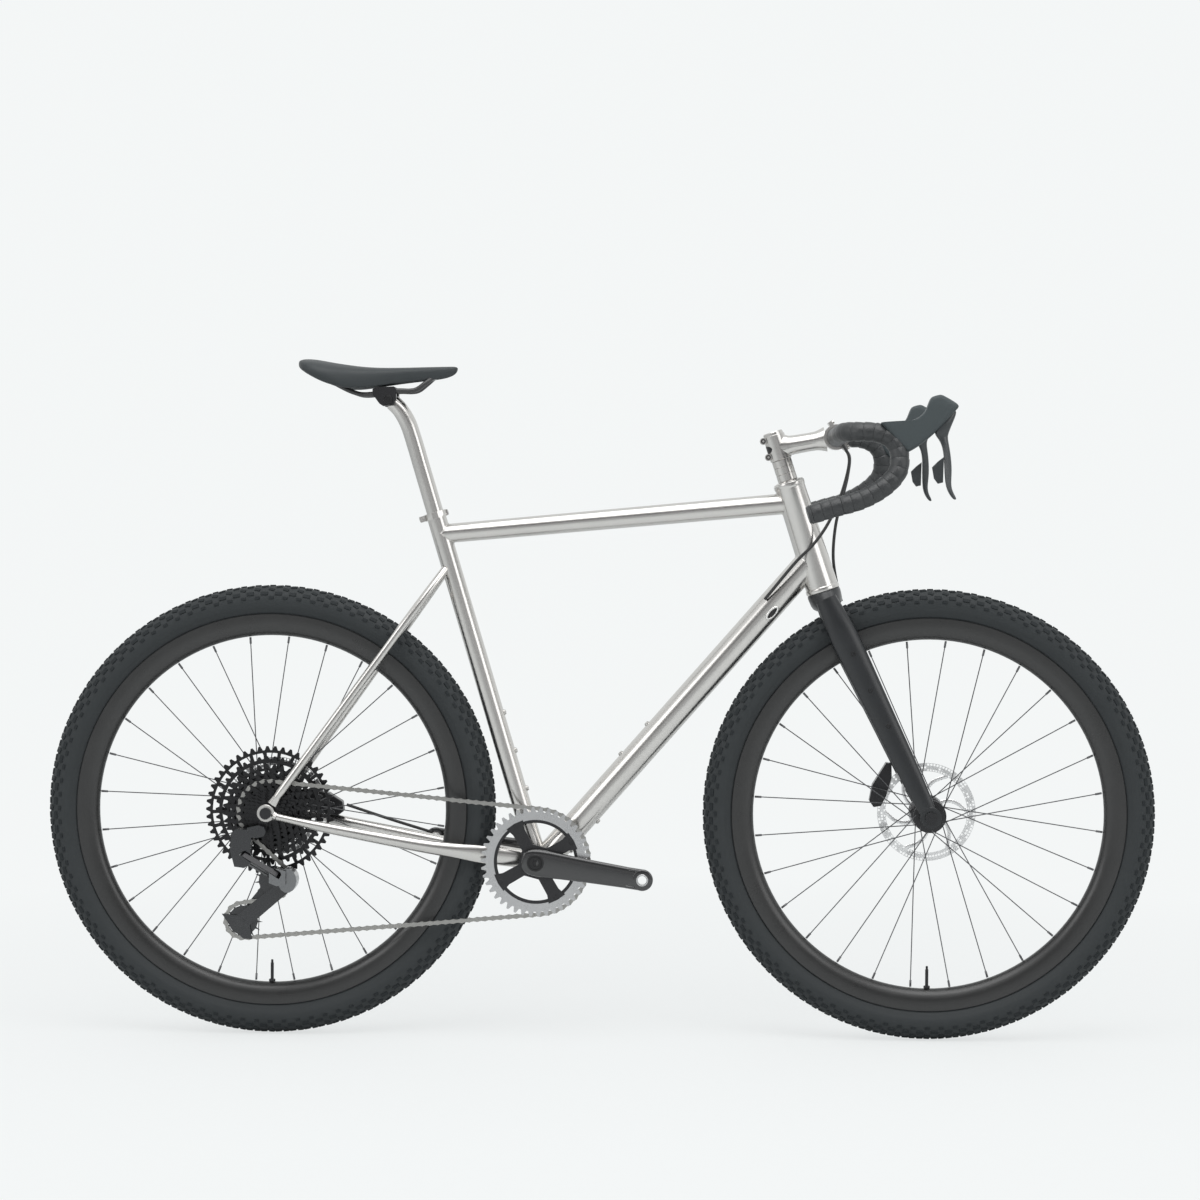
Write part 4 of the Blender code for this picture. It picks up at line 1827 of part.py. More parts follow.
def build_post_head():
    """A barrel across the post's top, on which the rail clamp tilts."""
    reach = Y_AXIS * (CLAMP_HALF_WIDTH + 2 * MM)
    return rod(BARREL_AT - reach, BARREL_AT + reach, BARREL_R, 12)


def grown_rails():
    return rail_body((RAIL_R + GAP) / cos(pi / RAIL_SIDES))


def build_rail_clamp(mat):
    """Two cheeks and a bridge round the rails."""
    c = CLAMP_AT
    outline = [(c.x + a * MM, c.z + b * MM) for a, b in ((-21, 1), (-21, 9), (-16, 12), (13, 13.5), (17, 10), (17, -6),
                                                         (13, -17), (-4, -18), (-10, -14))]
    clamp = place("saddle_clamp", flat_plate(outline, [], vec(0, 0, 0), vec(1, 0, 0), vec(0, 0, 1),
                                             CLAMP_HALF_WIDTH), mat, BARREL_AT)
    slot = [(c.x + a * MM, c.z + b * MM) for a, b in ((-40, -40), (40, -40), (40, 3.5), (-40, 3.5))]
    cut(clamp, flat_plate(slot, [], vec(0, 0, 0), vec(1, 0, 0), vec(0, 0, 1), CLAMP_SLOT_HALF), "slot")
    reach = Y_AXIS * (CLAMP_HALF_WIDTH + 5 * MM)
    cut(clamp, rod(BARREL_AT - reach, BARREL_AT + reach, (BARREL_R + GAP) / cos(pi / 16), 16), "barrel")
    cut(clamp, grown_rails(), "rails")


def saddle_rings():
    """Cross sections from the rear edge to the nose, with a channel along the crown."""
    length, half = SADDLE_LENGTH, SADDLE_WIDTH / 2
    stations = [(0, 0.5, 53, 44, 4), (0.03, 0.82, 58, 33, 8), (0.11, 0.98, 56.5, 22, 13), (0.2, 0.93, 53, 14, 15),
                (0.33, 0.68, 48.5, 7, 13), (0.46, 0.46, 44.5, 10.5, 9), (0.62, 0.31, 44, 16.5, 6.5),
                (0.8, 0.25, 45, 22, 6), (0.93, 0.22, 46, 26, 6), (1, 0.12, 44.5, 31, 4)]
    rings = []
    for share, wide, top, low, fall in stations:
        x = SADDLE_REAR.x + share * length
        w = wide * half
        dip = 2.5 * MM if 0.05 < share < 0.7 else 0.5 * MM
        top, low, fall = CLAMP_AT.z + top * MM, CLAMP_AT.z + low * MM, fall * MM
        right = [(0, top - dip), (w * 0.16, top), (w * 0.5, top - fall * 0.18), (w * 0.82, top - fall * 0.55),
                 (w, top - fall * 1.25), (w * 0.97, low), (w * 0.5, low + (top - low) * 0.4)]
        left = [(-a, b) for a, b in reversed(right[1:])]
        middle = [(0, low + (top - low) * 0.45)]
        rings.append([vec(x, a, b) for a, b in right + middle + left])
    return rings


def build_saddle(mat):
    saddle = place("saddle", solid_loft(saddle_rings()), mat)
    cut(saddle, grown_rails(), "rails")


# Everything in place

def main():
    clear_scene()
    mats = {
        "titanium": finish("titanium", (0.36, 0.34, 0.31), 0.34, 1),
        "black_metal": finish("black_metal", (0.02, 0.02, 0.022), 0.35, 0.6),
        "black_steel": finish("black_steel", (0.03, 0.03, 0.03), 0.3, 0.8),
        "steel": finish("steel", (0.5, 0.5, 0.5), 0.3, 1),
        "chain_steel": finish("chain_steel", (0.33, 0.32, 0.3), 0.3, 1),
        "carbon": finish("carbon", (0.018, 0.018, 0.02), 0.32, 0),
        "tyre": finish("tyre", (0.03, 0.03, 0.032), 0.8, 0),
        "tape": finish("tape", (0.022, 0.022, 0.023), 0.7, 0),
        "rubber": finish("rubber", (0.025, 0.025, 0.026), 0.6, 0),
        "knuckle": finish("knuckle", (0.25, 0.26, 0.27), 0.2, 0.9),
        "hose": finish("hose", (0.02, 0.02, 0.02), 0.4, 0),
    }
    ti, metal = mats["titanium"], mats["black_metal"]
    build_head_tube(ti)
    build_headset_bearings(metal)
    build_top_tube(ti)
    build_down_tube(ti)
    build_seat_tube(ti)
    build_shell(ti)
    build_bottom_bracket(metal)
    build_chainstays(ti)
    build_seatstays(ti)
    build_hanger(metal)
    build_seat_clamp(ti)
    build_hose_port(metal)
    build_wheel("front", FRONT_AXLE, FRONT_FLANGES, FRONT_HUB_WIDTH / 2, FRONT_ROTOR_Y, mats)
    build_wheel("rear", REAR_AXLE, REAR_FLANGES, REAR_HUB_WIDTH / 2, REAR_ROTOR_Y, mats,
                loose_flanges=True)
    place("front_axle", thru_axle(FRONT_AXLE, FRONT_HUB_WIDTH / 2 + FORK_TIP_THICKNESS + GAP), metal)
    place("rear_axle", thru_axle(REAR_AXLE, DROPOUT_OUTER), metal)
    build_chain(mats["chain_steel"])
    build_cassette(mats["black_steel"])
    build_chainring(mats["steel"])
    build_spider(metal)
    build_cranks(mats["carbon"])
    build_b_knuckle(metal)
    build_links(metal)
    build_p_knuckle(mats["knuckle"])
    build_cage(metal)
    build_pulleys(metal)
    build_fork(mats["carbon"])
    build_headset_spacers(mats)
    build_stem(mats)
    build_handlebar(metal)
    for side in (-1, 1):
        build_tape(side, mats["tape"])
        build_hood(side, mats["rubber"])
        build_lever(side, metal)
        build_paddle(side, metal)
    build_front_hose(mats["hose"])
    build_rear_hose(mats["hose"])
    build_calipers(metal)
    build_seatpost(ti)
    join(bpy.data.objects["seatpost"], build_post_head(), "barrel")
    build_rails(metal)
    build_rail_clamp(metal)
    build_saddle(mats["rubber"])


main()
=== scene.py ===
from math import asin, atan2, cos, pi, radians, sin, sqrt

import bmesh
import bpy
from mathutils import Matrix, Vector


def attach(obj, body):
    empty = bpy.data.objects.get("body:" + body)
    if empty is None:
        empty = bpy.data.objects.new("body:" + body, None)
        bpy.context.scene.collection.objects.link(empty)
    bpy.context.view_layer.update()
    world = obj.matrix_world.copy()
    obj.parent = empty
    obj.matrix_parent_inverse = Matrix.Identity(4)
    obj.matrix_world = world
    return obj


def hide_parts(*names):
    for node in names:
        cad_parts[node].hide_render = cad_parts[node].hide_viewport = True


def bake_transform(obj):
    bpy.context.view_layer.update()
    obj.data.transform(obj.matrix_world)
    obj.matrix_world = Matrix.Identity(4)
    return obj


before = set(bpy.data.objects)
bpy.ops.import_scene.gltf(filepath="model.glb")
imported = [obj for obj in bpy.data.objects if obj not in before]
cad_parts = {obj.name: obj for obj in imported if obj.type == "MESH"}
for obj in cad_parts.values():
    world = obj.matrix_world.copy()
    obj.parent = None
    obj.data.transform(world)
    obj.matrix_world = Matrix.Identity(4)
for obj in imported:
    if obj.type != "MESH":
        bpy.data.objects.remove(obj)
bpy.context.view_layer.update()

# Camera, light and floor
# The bicycle stands on a pale floor in soft white light, seen square from its drive side through a long lens
# level with its top tube.
scene = bpy.context.scene
camera = bpy.data.objects.new("camera", bpy.data.cameras.new("camera"))
scene.collection.objects.link(camera)
scene.camera = camera
camera.data.lens = 90.225
camera.data.sensor_width = 36
camera.data.clip_end = 50
yaw, pitch, roll = radians(-1.86), radians(1.63), radians(-0.32)
ahead = Vector((sin(yaw) * cos(pitch), cos(yaw) * cos(pitch), -sin(pitch)))
level = Vector((cos(yaw), -sin(yaw), 0))
below = ahead.cross(level)
right = level * cos(roll) + below * sin(roll)
down = below * cos(roll) - level * sin(roll)
turn = Matrix((right, -down, -ahead)).transposed().to_4x4()
camera.matrix_world = Matrix.Translation((0.1565, -4.8399, 0.8422)) @ turn
scene.view_settings.view_transform = "Standard"


def add_node(tree, kind, inputs=(), **settings):
    """A new shader node with its settings and the values of its inputs."""
    made = tree.nodes.new("ShaderNode" + kind)
    for name, value in settings.items():
        setattr(made, name, value)
    for name, value in dict(inputs).items():
        made.inputs[name].default_value = value
    return made


def wire(tree, *wires):
    """Join an output of one node to an input of another, for each wire given."""
    for source, out, target, into in wires:
        tree.links.new(source.outputs[out], target.inputs[into])


BACKDROP = (0.905, 0.925, 0.925, 1)
world = bpy.data.worlds.new("studio")
scene.world = world
world.use_nodes = True
sky = world.node_tree
sky.nodes.clear()
sky_out = add_node(sky, "OutputWorld")
sky_mix = add_node(sky, "MixShader")
room = add_node(sky, "Background", {"Color": (0.93, 0.95, 0.96, 1), "Strength": 0.62})
backdrop = add_node(sky, "Background", {"Strength": 1.0})
direction = add_node(sky, "TexCoord")
parts = add_node(sky, "SeparateXYZ")
front_back = add_node(sky, "MapRange", {"From Min": -0.9, "From Max": 0.25})
height = add_node(sky, "MapRange", {"From Min": -1.0})
bands = add_node(sky, "ValToRGB")
for where, grey in ((0.45, 0.42), (0.56, 0.60), (0.61, 0.14), (0.70, 0.18), (0.77, 0.80)):
    bands.color_ramp.elements.new(where).color = (grey, grey * 1.01, grey * 1.02, 1)
bands.color_ramp.elements[0].color = (0.30, 0.30, 0.31, 1)
shade = add_node(sky, "Mix", {"B": BACKDROP}, data_type="RGBA")
rays = add_node(sky, "LightPath")
behind, seen, seen_more = (add_node(sky, "Math", operation="MAXIMUM") for _ in range(3))
wire(sky, (direction, "Generated", parts, 0), (parts, "Y", front_back, "Value"),
     (front_back, "Result", behind, 0), (rays, "Is Camera Ray", behind, 1), (behind, 0, shade, "Factor"),
     (parts, "Z", height, "Value"), (height, "Result", bands, "Fac"), (bands, "Color", shade, "A"),
     (shade, "Result", backdrop, "Color"), (rays, "Is Camera Ray", seen, 0),
     (rays, "Is Transmission Ray", seen, 1), (seen, 0, seen_more, 0), (rays, "Is Glossy Ray", seen_more, 1),
     (seen_more, 0, sky_mix, "Fac"), (room, 0, sky_mix, 1), (backdrop, 0, sky_mix, 2),
     (sky_mix, 0, sky_out, "Surface"))

for name, place, aim, size, power in (
    ("lamp_over", (0.2, -1.2, 3.4), (0, 0, 0.5), 3.0, 62),
    ("lamp_left", (-3.0, -2.6, 2.0), (0, 0, 0.5), 2.0, 26),
    ("lamp_right", (3.2, -2.4, 1.8), (0, 0, 0.5), 2.0, 22),
):
    lamp = bpy.data.lights.new(name, "AREA")
    lamp.size = size
    lamp.energy = power
    lamp_object = bpy.data.objects.new(name, lamp)
    scene.collection.objects.link(lamp_object)
    away = Vector(place) - Vector(aim)
    aimed = away.to_track_quat("Z", "Y").to_matrix().to_4x4()
    lamp_object.matrix_world = Matrix.Translation(place) @ aimed

floor_bm = bmesh.new()
bmesh.ops.create_grid(floor_bm, x_segments=1, y_segments=1, size=9)
floor_mesh = bpy.data.meshes.new("floor")
floor_bm.to_mesh(floor_mesh)
floor_bm.free()
floor = bpy.data.objects.new("floor", floor_mesh)
floor.location = (0, 0, -0.0005)
scene.collection.objects.link(floor)


# Brushed bare metal of the frame
# Titanium, left bare and brushed by hand after welding, so it is warm grey, bright, and slightly uneven in
# gloss.
def grain_group():
    """Soft blotches and fine scratches: a value for colour or gloss, and a height for a bump."""
    group = bpy.data.node_groups.new("grain", "ShaderNodeTree")
    for socket, kind, way, value in (("Vector", "NodeSocketVector", "INPUT", None),
                                     ("Scale", "NodeSocketFloat", "INPUT", 40.0),
                                     ("Fine", "NodeSocketFloat", "INPUT", 700.0),
                                     ("Value", "NodeSocketFloat", "OUTPUT", None),
                                     ("Height", "NodeSocketFloat", "OUTPUT", None)):
        s = group.interface.new_socket(name=socket, in_out=way, socket_type=kind)
        if value is not None:
            s.default_value = value
    inside = group.nodes.new("NodeGroupInput")
    outside = group.nodes.new("NodeGroupOutput")
    broad = add_node(group, "TexNoise", {"Detail": 4})
    fine = add_node(group, "TexNoise", {"Detail": 2})
    mix = add_node(group, "Mix", {"Factor": 0.5}, data_type="FLOAT")
    for noise, scale in ((broad, "Scale"), (fine, "Fine")):
        wire(group, (inside, "Vector", noise, "Vector"), (inside, scale, noise, "Scale"))
    wire(group, (broad, "Fac", mix, "A"), (fine, "Fac", mix, "B"), (mix, "Result", outside, "Value"),
         (fine, "Fac", outside, "Height"))
    return group


GRAIN = grain_group()


def finish(name, dark, light, rough, metal=0.0, coat=0.0, coat_rough=0.1, scale=40.0, fine=700.0, bump=0.1,
           specular=0.5):
    """A surface between two near colours and two near roughnesses, with a fine bump."""
    mat = bpy.data.materials.new(name)
    mat.use_nodes = True
    tree = mat.node_tree
    shader = tree.nodes["Principled BSDF"]
    for socket, value in (("Metallic", metal), ("Coat Weight", coat), ("Coat Roughness", coat_rough),
                          ("Specular IOR Level", specular)):
        shader.inputs[socket].default_value = value
    coords = add_node(tree, "TexCoord")
    grain = add_node(tree, "Group", {"Scale": scale, "Fine": fine}, node_tree=GRAIN)
    colour = add_node(tree, "Mix", {"A": (*dark, 1), "B": (*light, 1)}, data_type="RGBA")
    gloss = add_node(tree, "MapRange", {"From Min": 0.3, "From Max": 0.7,
                                        "To Min": rough[0], "To Max": rough[1]})
    relief = add_node(tree, "Bump", {"Strength": bump, "Distance": 0.0005})
    wire(tree, (coords, "Object", grain, "Vector"), (grain, "Value", colour, "Factor"),
         (colour, "Result", shader, "Base Color"), (grain, "Value", gloss, "Value"),
         (gloss, "Result", shader, "Roughness"), (grain, "Height", relief, "Height"),
         (relief, "Normal", shader, "Normal"))
    return mat


# The floor has a pale finish that fades into the backdrop away from the bicycle, for the camera alone.
pale_floor = finish("pale_floor", (0.80, 0.82, 0.82), (0.84, 0.86, 0.86), (0.6, 0.75), bump=0.02)
floor.data.materials.append(pale_floor)
tree = pale_floor.node_tree
glow = add_node(tree, "Emission", {"Color": BACKDROP})
spot = add_node(tree, "TexCoord")
distance = add_node(tree, "VectorMath", operation="LENGTH")
fade = add_node(tree, "MapRange", {"From Min": 0.6, "From Max": 2.2, "To Min": 0.72, "To Max": 1.0})
view = add_node(tree, "LightPath")
only = add_node(tree, "Math", operation="MULTIPLY")
faded = add_node(tree, "MixShader")
wire(tree, (spot, "Object", distance, 0), (distance, "Value", fade, "Value"), (fade, "Result", only, 0),
     (view, "Is Camera Ray", only, 1), (only, 0, faded, "Fac"), (tree.nodes["Principled BSDF"], 0, faded, 1),
     (glow, 0, faded, 2), (faded, 0, tree.nodes["Material Output"], "Surface"))

bare_metal = finish("brushed_metal", (0.56, 0.545, 0.525), (0.66, 0.645, 0.625), (0.19, 0.27), metal=1.0,
                    scale=12, fine=1400, bump=0.012)


# Frame tubes
# Straight round titanium tubes, welded: a tapered head tube with a raised ring at each end, a top tube, a fat
# down tube, a seat tube and the shell for the cranks' bearings.
def piece(name, bm, mat, body, nodes=(), split=None):
    """Put a bmesh in the scene as one piece that rides on a body and stands for the CAD nodes named."""
    bmesh.ops.remove_doubles(bm, verts=bm.verts, dist=1e-6)
    bmesh.ops.recalc_face_normals(bm, faces=bm.faces)
    mesh = bpy.data.meshes.new(name)
    bm.to_mesh(mesh)
    bm.free()
    mesh.polygons.foreach_set("use_smooth", [True] * len(mesh.polygons))
    if split:
        mesh.set_sharp_from_angle(angle=radians(split))
    thing = bpy.data.objects.new(name, mesh)
    scene.collection.objects.link(thing)
    thing.data.materials.append(mat)
    if body:
        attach(thing, body)
    if nodes:
        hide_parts(*nodes)
    return thing


def ring_frame(at, way, hint, wide, deep):
    """A matrix whose Z runs along the way, for a cross section across it."""
    z = way.normalized()
    x = (hint - z * hint.dot(z)).normalized()
    y = z.cross(x)
    m = Matrix((x * wide, y * deep, z)).transposed().to_4x4()
    m.translation = at
    return m


def extruded(bm, edges):
    """Extrude a loop of edges: the new vertices, the new loop and the faces between."""
    out = bmesh.ops.extrude_edge_only(bm, edges=edges)["geom"]
    verts = [g for g in out if isinstance(g, bmesh.types.BMVert)]
    loop = [g for g in out if isinstance(g, bmesh.types.BMEdge) and all(w in verts for w in g.verts)]
    return verts, loop, [g for g in out if isinstance(g, bmesh.types.BMFace)]


def swept(bm, path, sizes, sides, hint=(0, 1, 0), capped=True):
    """Extrude a circle from station to station; a size is a radius, or (along the hint, across it)."""
    points = [Vector(p) * 0.001 for p in path]
    x = Vector(hint)
    before = None
    edges = []
    for i, p in enumerate(points):
        way = points[min(i + 1, len(points) - 1)] - points[max(i - 1, 0)]
        size = sizes[i] if isinstance(sizes, (list, tuple)) else sizes
        wide, deep = (size, size) if isinstance(size, (int, float)) else size
        m = ring_frame(p, way, x, wide * 0.001, deep * 0.001)
        x = m.to_3x3().col[0].normalized()
        if before is None:
            made = bmesh.ops.create_circle(bm, cap_ends=capped, radius=1, segments=sides, matrix=m)
            verts = made["verts"]
            edges = list({e for v in verts for e in v.link_edges if all(w in verts for w in e.verts)})
        else:
            verts, edges, _ = extruded(bm, edges)
            bmesh.ops.transform(bm, matrix=m @ before.inverted(), verts=verts)
        before = m
    if capped:
        bmesh.ops.contextual_create(bm, geom=edges)


def lathe(bm, profile, centre, axis, steps):
    """Spin a closed or open outline of (radius, height) in millimetres round an axis."""
    z = Vector(axis).normalized()
    side = z.orthogonal().normalized()
    c = Vector(centre) * 0.001
    verts = [bm.verts.new(c + z * h * 0.001 + side * r * 0.001) for r, h in profile]
    edges = [bm.edges.new(pair) for pair in zip(verts, verts[1:])]
    bmesh.ops.spin(bm, geom=verts + edges, cent=c, axis=z, angle=2 * pi, steps=steps, use_merge=True)


def weld(bm, start, way, radius, onto, onto_way, onto_radius):
    """A weld's small rippled seam where a round tube from start along way meets another tube's skin."""
    z, axis = Vector(way).normalized(), Vector(onto_way).normalized()
    x = z.orthogonal().normalized()
    y = z.cross(x)
    path = []
    for k in range(97):
        t = 2 * pi * k / 96
        p = Vector(start) + (x * cos(t) + y * sin(t)) * radius
        q, w = p - Vector(onto), z - axis * z.dot(axis)
        q -= axis * q.dot(axis)
        a, b, c = w.dot(w), q.dot(w), q.dot(q) - onto_radius ** 2
        path.append(p + z * ((-b - sqrt(max(b * b - a * c, 0))) / a))
    swept(bm, path, [1.2 if k % 2 else 0.96 for k in range(97)], 6, hint=z, capped=False)


HEAD_UP = Vector((-0.310676, 0, 0.950516))
SEAT_UP = Vector((-0.288196, 0, 0.957571))
head_fore = Vector((HEAD_UP.z, 0, -HEAD_UP.x))
HEAD_LOW = Vector((358.1, 0, 721.0))
SHELL = Vector((-99.5, 0, 286.0))
DOWN_RADIUS, SEAT_RADIUS = 22, 15.5

bm = bmesh.new()
lathe(bm, [(24.3, 0), (27.2, 0.4), (27.5, 1.5), (27.5, 6), (26.9, 7.2), (26.3, 8.0), (24.2, 174.0),
           (24.6, 175.4), (25.2, 176.6), (25.2, 182.0), (24.8, 183.0), (20.9, 183.0)], HEAD_LOW, HEAD_UP, 64)
piece("head_tube_brushed", bm, bare_metal, "frame", ["head_tube"], split=35)

TOP_REAR, TOP_FRONT = Vector((-257.0, 0, 809.2)), Vector((311.8, 0, 862.6))
bm = bmesh.new()
swept(bm, [TOP_REAR, TOP_FRONT], [15.4, 16.8], 48)
weld(bm, TOP_REAR, TOP_FRONT - TOP_REAR, 16.6, HEAD_LOW, HEAD_UP, 24.6)
weld(bm, TOP_FRONT, TOP_REAR - TOP_FRONT, 15.5, SHELL, SEAT_UP, SEAT_RADIUS)
piece("top_tube_brushed", bm, bare_metal, "frame", ["top_tube"], split=35)

DOWN_REAR, DOWN_FRONT = Vector((-91.5, 0, 279.0)), Vector((334.0, 0, 766.5))
bm = bmesh.new()
swept(bm, [DOWN_REAR, DOWN_FRONT], DOWN_RADIUS, 64)
weld(bm, DOWN_REAR, DOWN_FRONT - DOWN_REAR, DOWN_RADIUS, HEAD_LOW, HEAD_UP, 25.4)
piece("down_tube_brushed", bm, bare_metal, "frame", ["down_tube"], split=35)

SEAT_TOP = Vector((-267.5, 0, 844.3))
bm = bmesh.new()
swept(bm, [SHELL, SEAT_TOP], SEAT_RADIUS, 48)
piece("seat_tube_brushed", bm, bare_metal, "frame", ["seat_tube"], split=35)

bm = bmesh.new()
lathe(bm, [(17.8, -34), (20.4, -34), (21, -33.3), (21, 33.3), (20.4, 34), (17.8, 34)], SHELL, (0, 1, 0), 48)
piece("bottom_bracket_shell_brushed", bm, bare_metal, "frame", ["bottom_bracket_shell"], split=35)


# Bosses
# Small welded bosses with a button-headed bolt each, for bottle cages and bags.
def boss(bm, at, out):
    """A turned boss with a round bolt head and its socket."""
    radius, proud, head, tall = 4.6, 1.4, 3.9, 1.9
    lathe(bm, [(radius, -1), (radius, proud * 0.7), (radius * 0.93, proud), (head, proud),
               (head, proud + tall * 0.5), (head * 0.8, proud + tall), (head * 0.5, proud + tall),
               (head * 0.45, proud + tall * 0.4), (0.01, proud + tall * 0.4)], at, out, 20)


black_bolt = finish("black_bolt", (0.02, 0.02, 0.02), (0.04, 0.04, 0.042), (0.25, 0.4), metal=0.6)
BOSS_STEP = 64
down_meets_head = Vector((340.7, 0, 774.2))
down_way = (down_meets_head - DOWN_REAR).normalized()
down_up = Vector((-down_way.z, 0, down_way.x))
seat_fore = Vector((SEAT_UP.z, 0, -SEAT_UP.x))
bm = bmesh.new()
for k in range(2):
    boss(bm, DOWN_REAR + down_way * (217 + BOSS_STEP * k) + down_up * DOWN_RADIUS, down_up)
    boss(bm, DOWN_REAR + down_way * (46 + BOSS_STEP * k) - down_up * DOWN_RADIUS, -down_up)
for k in range(3):
    boss(bm, SHELL + SEAT_UP * (114 + BOSS_STEP * k) + seat_fore * SEAT_RADIUS, seat_fore)
piece("bosses", bm, bare_metal, "frame", split=35)

# Hose port
# An oval opening low on the head end of the down tube, through which the rear hose enters: a raised welded
# rim and a black insert held by two small screws.
port_across = -9.4
port_aside = sqrt(DOWN_RADIUS ** 2 - port_across ** 2)
port_out = (down_up * port_across - Vector((0, port_aside, 0))) / DOWN_RADIUS
port = DOWN_REAR + down_way * 548.2 + port_out * DOWN_RADIUS
side_way = port_out.cross(down_way)
bm = bmesh.new()
rim_path = [port + down_way * (12.2 * cos(t)) + side_way * (5.2 * sin(t)) - port_out * (0.6 * sin(t) ** 2)
            for t in (2 * pi * k / 48 for k in range(49))]
swept(bm, rim_path, 1.9, 8, hint=port_out, capped=False)
bright_weld = finish("bright_weld", (0.80, 0.79, 0.77), (0.90, 0.89, 0.87), (0.30, 0.42), metal=1.0)
piece("port_rim", bm, bright_weld, "frame", split=50)
bm = bmesh.new()
swept(bm, [port - port_out * 2, port + port_out * 0.5, port + port_out * 0.9],
      [(11.4, 4.4), (11.4, 4.4), (10.8, 3.8)], 32, hint=down_way)
for shift in (-8, 8):
    lathe(bm, [(1.7, 0.4), (1.7, 1.3), (1.3, 1.6), (0.7, 1.6), (0.6, 1.0), (0.01, 1.0)],
          port + down_way * shift, port_out, 14)
piece("port_insert", bm, black_bolt, "frame", ["hose_port"], split=35)


# Stays
# Bent and tapered tubes from the shell and the seat tube to flat dropouts. The right chainstay starts as a
# flat yoke between tyre and chainring; the seatstays carry a short bridge over the tyre.
def blended(rows, count):
    """Rows of numbers, each led by a point, at even steps along a smooth curve through the rows given."""
    p = [tuple(row) for row in rows]
    before, after = (tuple(2 * u - v for u, v in zip(*pair)) for pair in ((p[0], p[1]), (p[-1], p[-2])))
    p = [before] + p + [after]
    fine = []
    for q0, q1, q2, q3 in zip(p, p[1:], p[2:], p[3:]):
        for k in range(24):
            t = k / 24
            fine.append(tuple(0.5 * (2 * b + (c - a) * t + (2 * a - 5 * b + 4 * c - d) * t * t
                              + (3 * b - a - 3 * c + d) * t ** 3) for a, b, c, d in zip(q0, q1, q2, q3)))
    fine.append(p[-2])
    steps = [0.0]
    for u, v in zip(fine, fine[1:]):
        steps.append(steps[-1] + (Vector(v[:3]) - Vector(u[:3])).length)
    out, k = [], 0
    for i in range(count):
        want = steps[-1] * i / (count - 1)
        while k < len(fine) - 2 and steps[k + 1] < want:
            k += 1
        share = (want - steps[k]) / (steps[k + 1] - steps[k])
        out.append(tuple(u + (v - u) * share for u, v in zip(fine[k], fine[k + 1])))
    return out


def curve(points, count):
    """Points at even steps along a smooth curve through the ones given."""
    return [Vector(p) for p in blended(points, count)]


def refined(points, sizes, count):
    """Stations and sizes at even steps, both blended along the given ones."""
    both = blended([(*p, *size) for p, size in zip(points, sizes)], count)
    return [Vector(row[:3]) for row in both], [row[3:] for row in both]


RIGHT_STAY = [(-112.1, -22.0, 286.0), (-160.2, -31.0, 292.1), (-192.2, -35.0, 296.5), (-236.3, -41.0, 303.1),
              (-296.3, -49.5, 313.0), (-432.5, -66.4, 339.4), (-488.6, -73.9, 351.9), (-512.6, -76.9, 357.6)]
RIGHT_SIZES = [(5, 14), (5, 14), (5, 14), (8, 12), (10.3, 10.9), (8.3, 8.4), (6, 6), (6, 6)]
LEFT_STAY = [(-112.1, 22.0, 286.0), (-160.2, 34.0, 292.1), (-200.2, 40.5, 297.6), (-256.3, 47.5, 306.2),
             (-432.5, 66.4, 339.4), (-488.6, 73.9, 351.9), (-512.6, 76.9, 357.6)]
LEFT_SIZES = [(9.5, 10.4), (8.6, 10.9), (9.5, 10.4), (9.5, 10.4), (8.3, 8.4), (6, 6), (6, 6)]
REAR_AXLE = Vector((-529.25, 0, 363.0))
for name, stay, sizes, y0, y1 in (("chainstay_right", RIGHT_STAY, RIGHT_SIZES, -80.4, -73.4),
                                  ("chainstay_left", LEFT_STAY, LEFT_SIZES, 71.0, 80.4)):
    bm = bmesh.new()
    swept(bm, *refined(stay, sizes, 40), sides=32)
    lathe(bm, [(6.5, y0), (13.4, y0), (14, y0 + 0.6), (14, y1 - 0.6), (13.4, y1), (6.5, y1), (6.5, y0)],
          REAR_AXLE, (0, 1, 0), 32)
    swept(bm, [stay[-1], (-520, stay[-1][1], 360.3)], [6, (3.6, 8)], 24)
    swept(bm, [(-519.5, stay[-1][1], 377), (-512.1, stay[-1][1], 388.4)], [(3.6, 8), (5.9, 5.9)], 24)
    piece(name + "_brushed", bm, bare_metal, "frame", [name], split=35)

bm = bmesh.new()
SEATSTAY = [(-512.1, 76.9, 388.4), (-496.0, 75.9, 410.8), (-474.4, 71.9, 440.7), (-404.4, 59.8, 537.8),
            (-345.1, 46.8, 620.0), (-302.0, 39.8, 679.7), (-271.5, 26.0, 722.0), (-249.5, 9.6, 752.5)]
for side in (-1, 1):
    path = [(x, y * side, z) for x, y, z in SEATSTAY]
    swept(bm, curve(path, 40), [6.0] + [6.8] * 39, 28)
swept(bm, [(-293.4, -37, 692.5), (-293.4, 37, 692.5)], 5.5, 24, hint=(1, 0, 0))
piece("seatstays_brushed", bm, bare_metal, "frame", ["seatstays"], split=35)

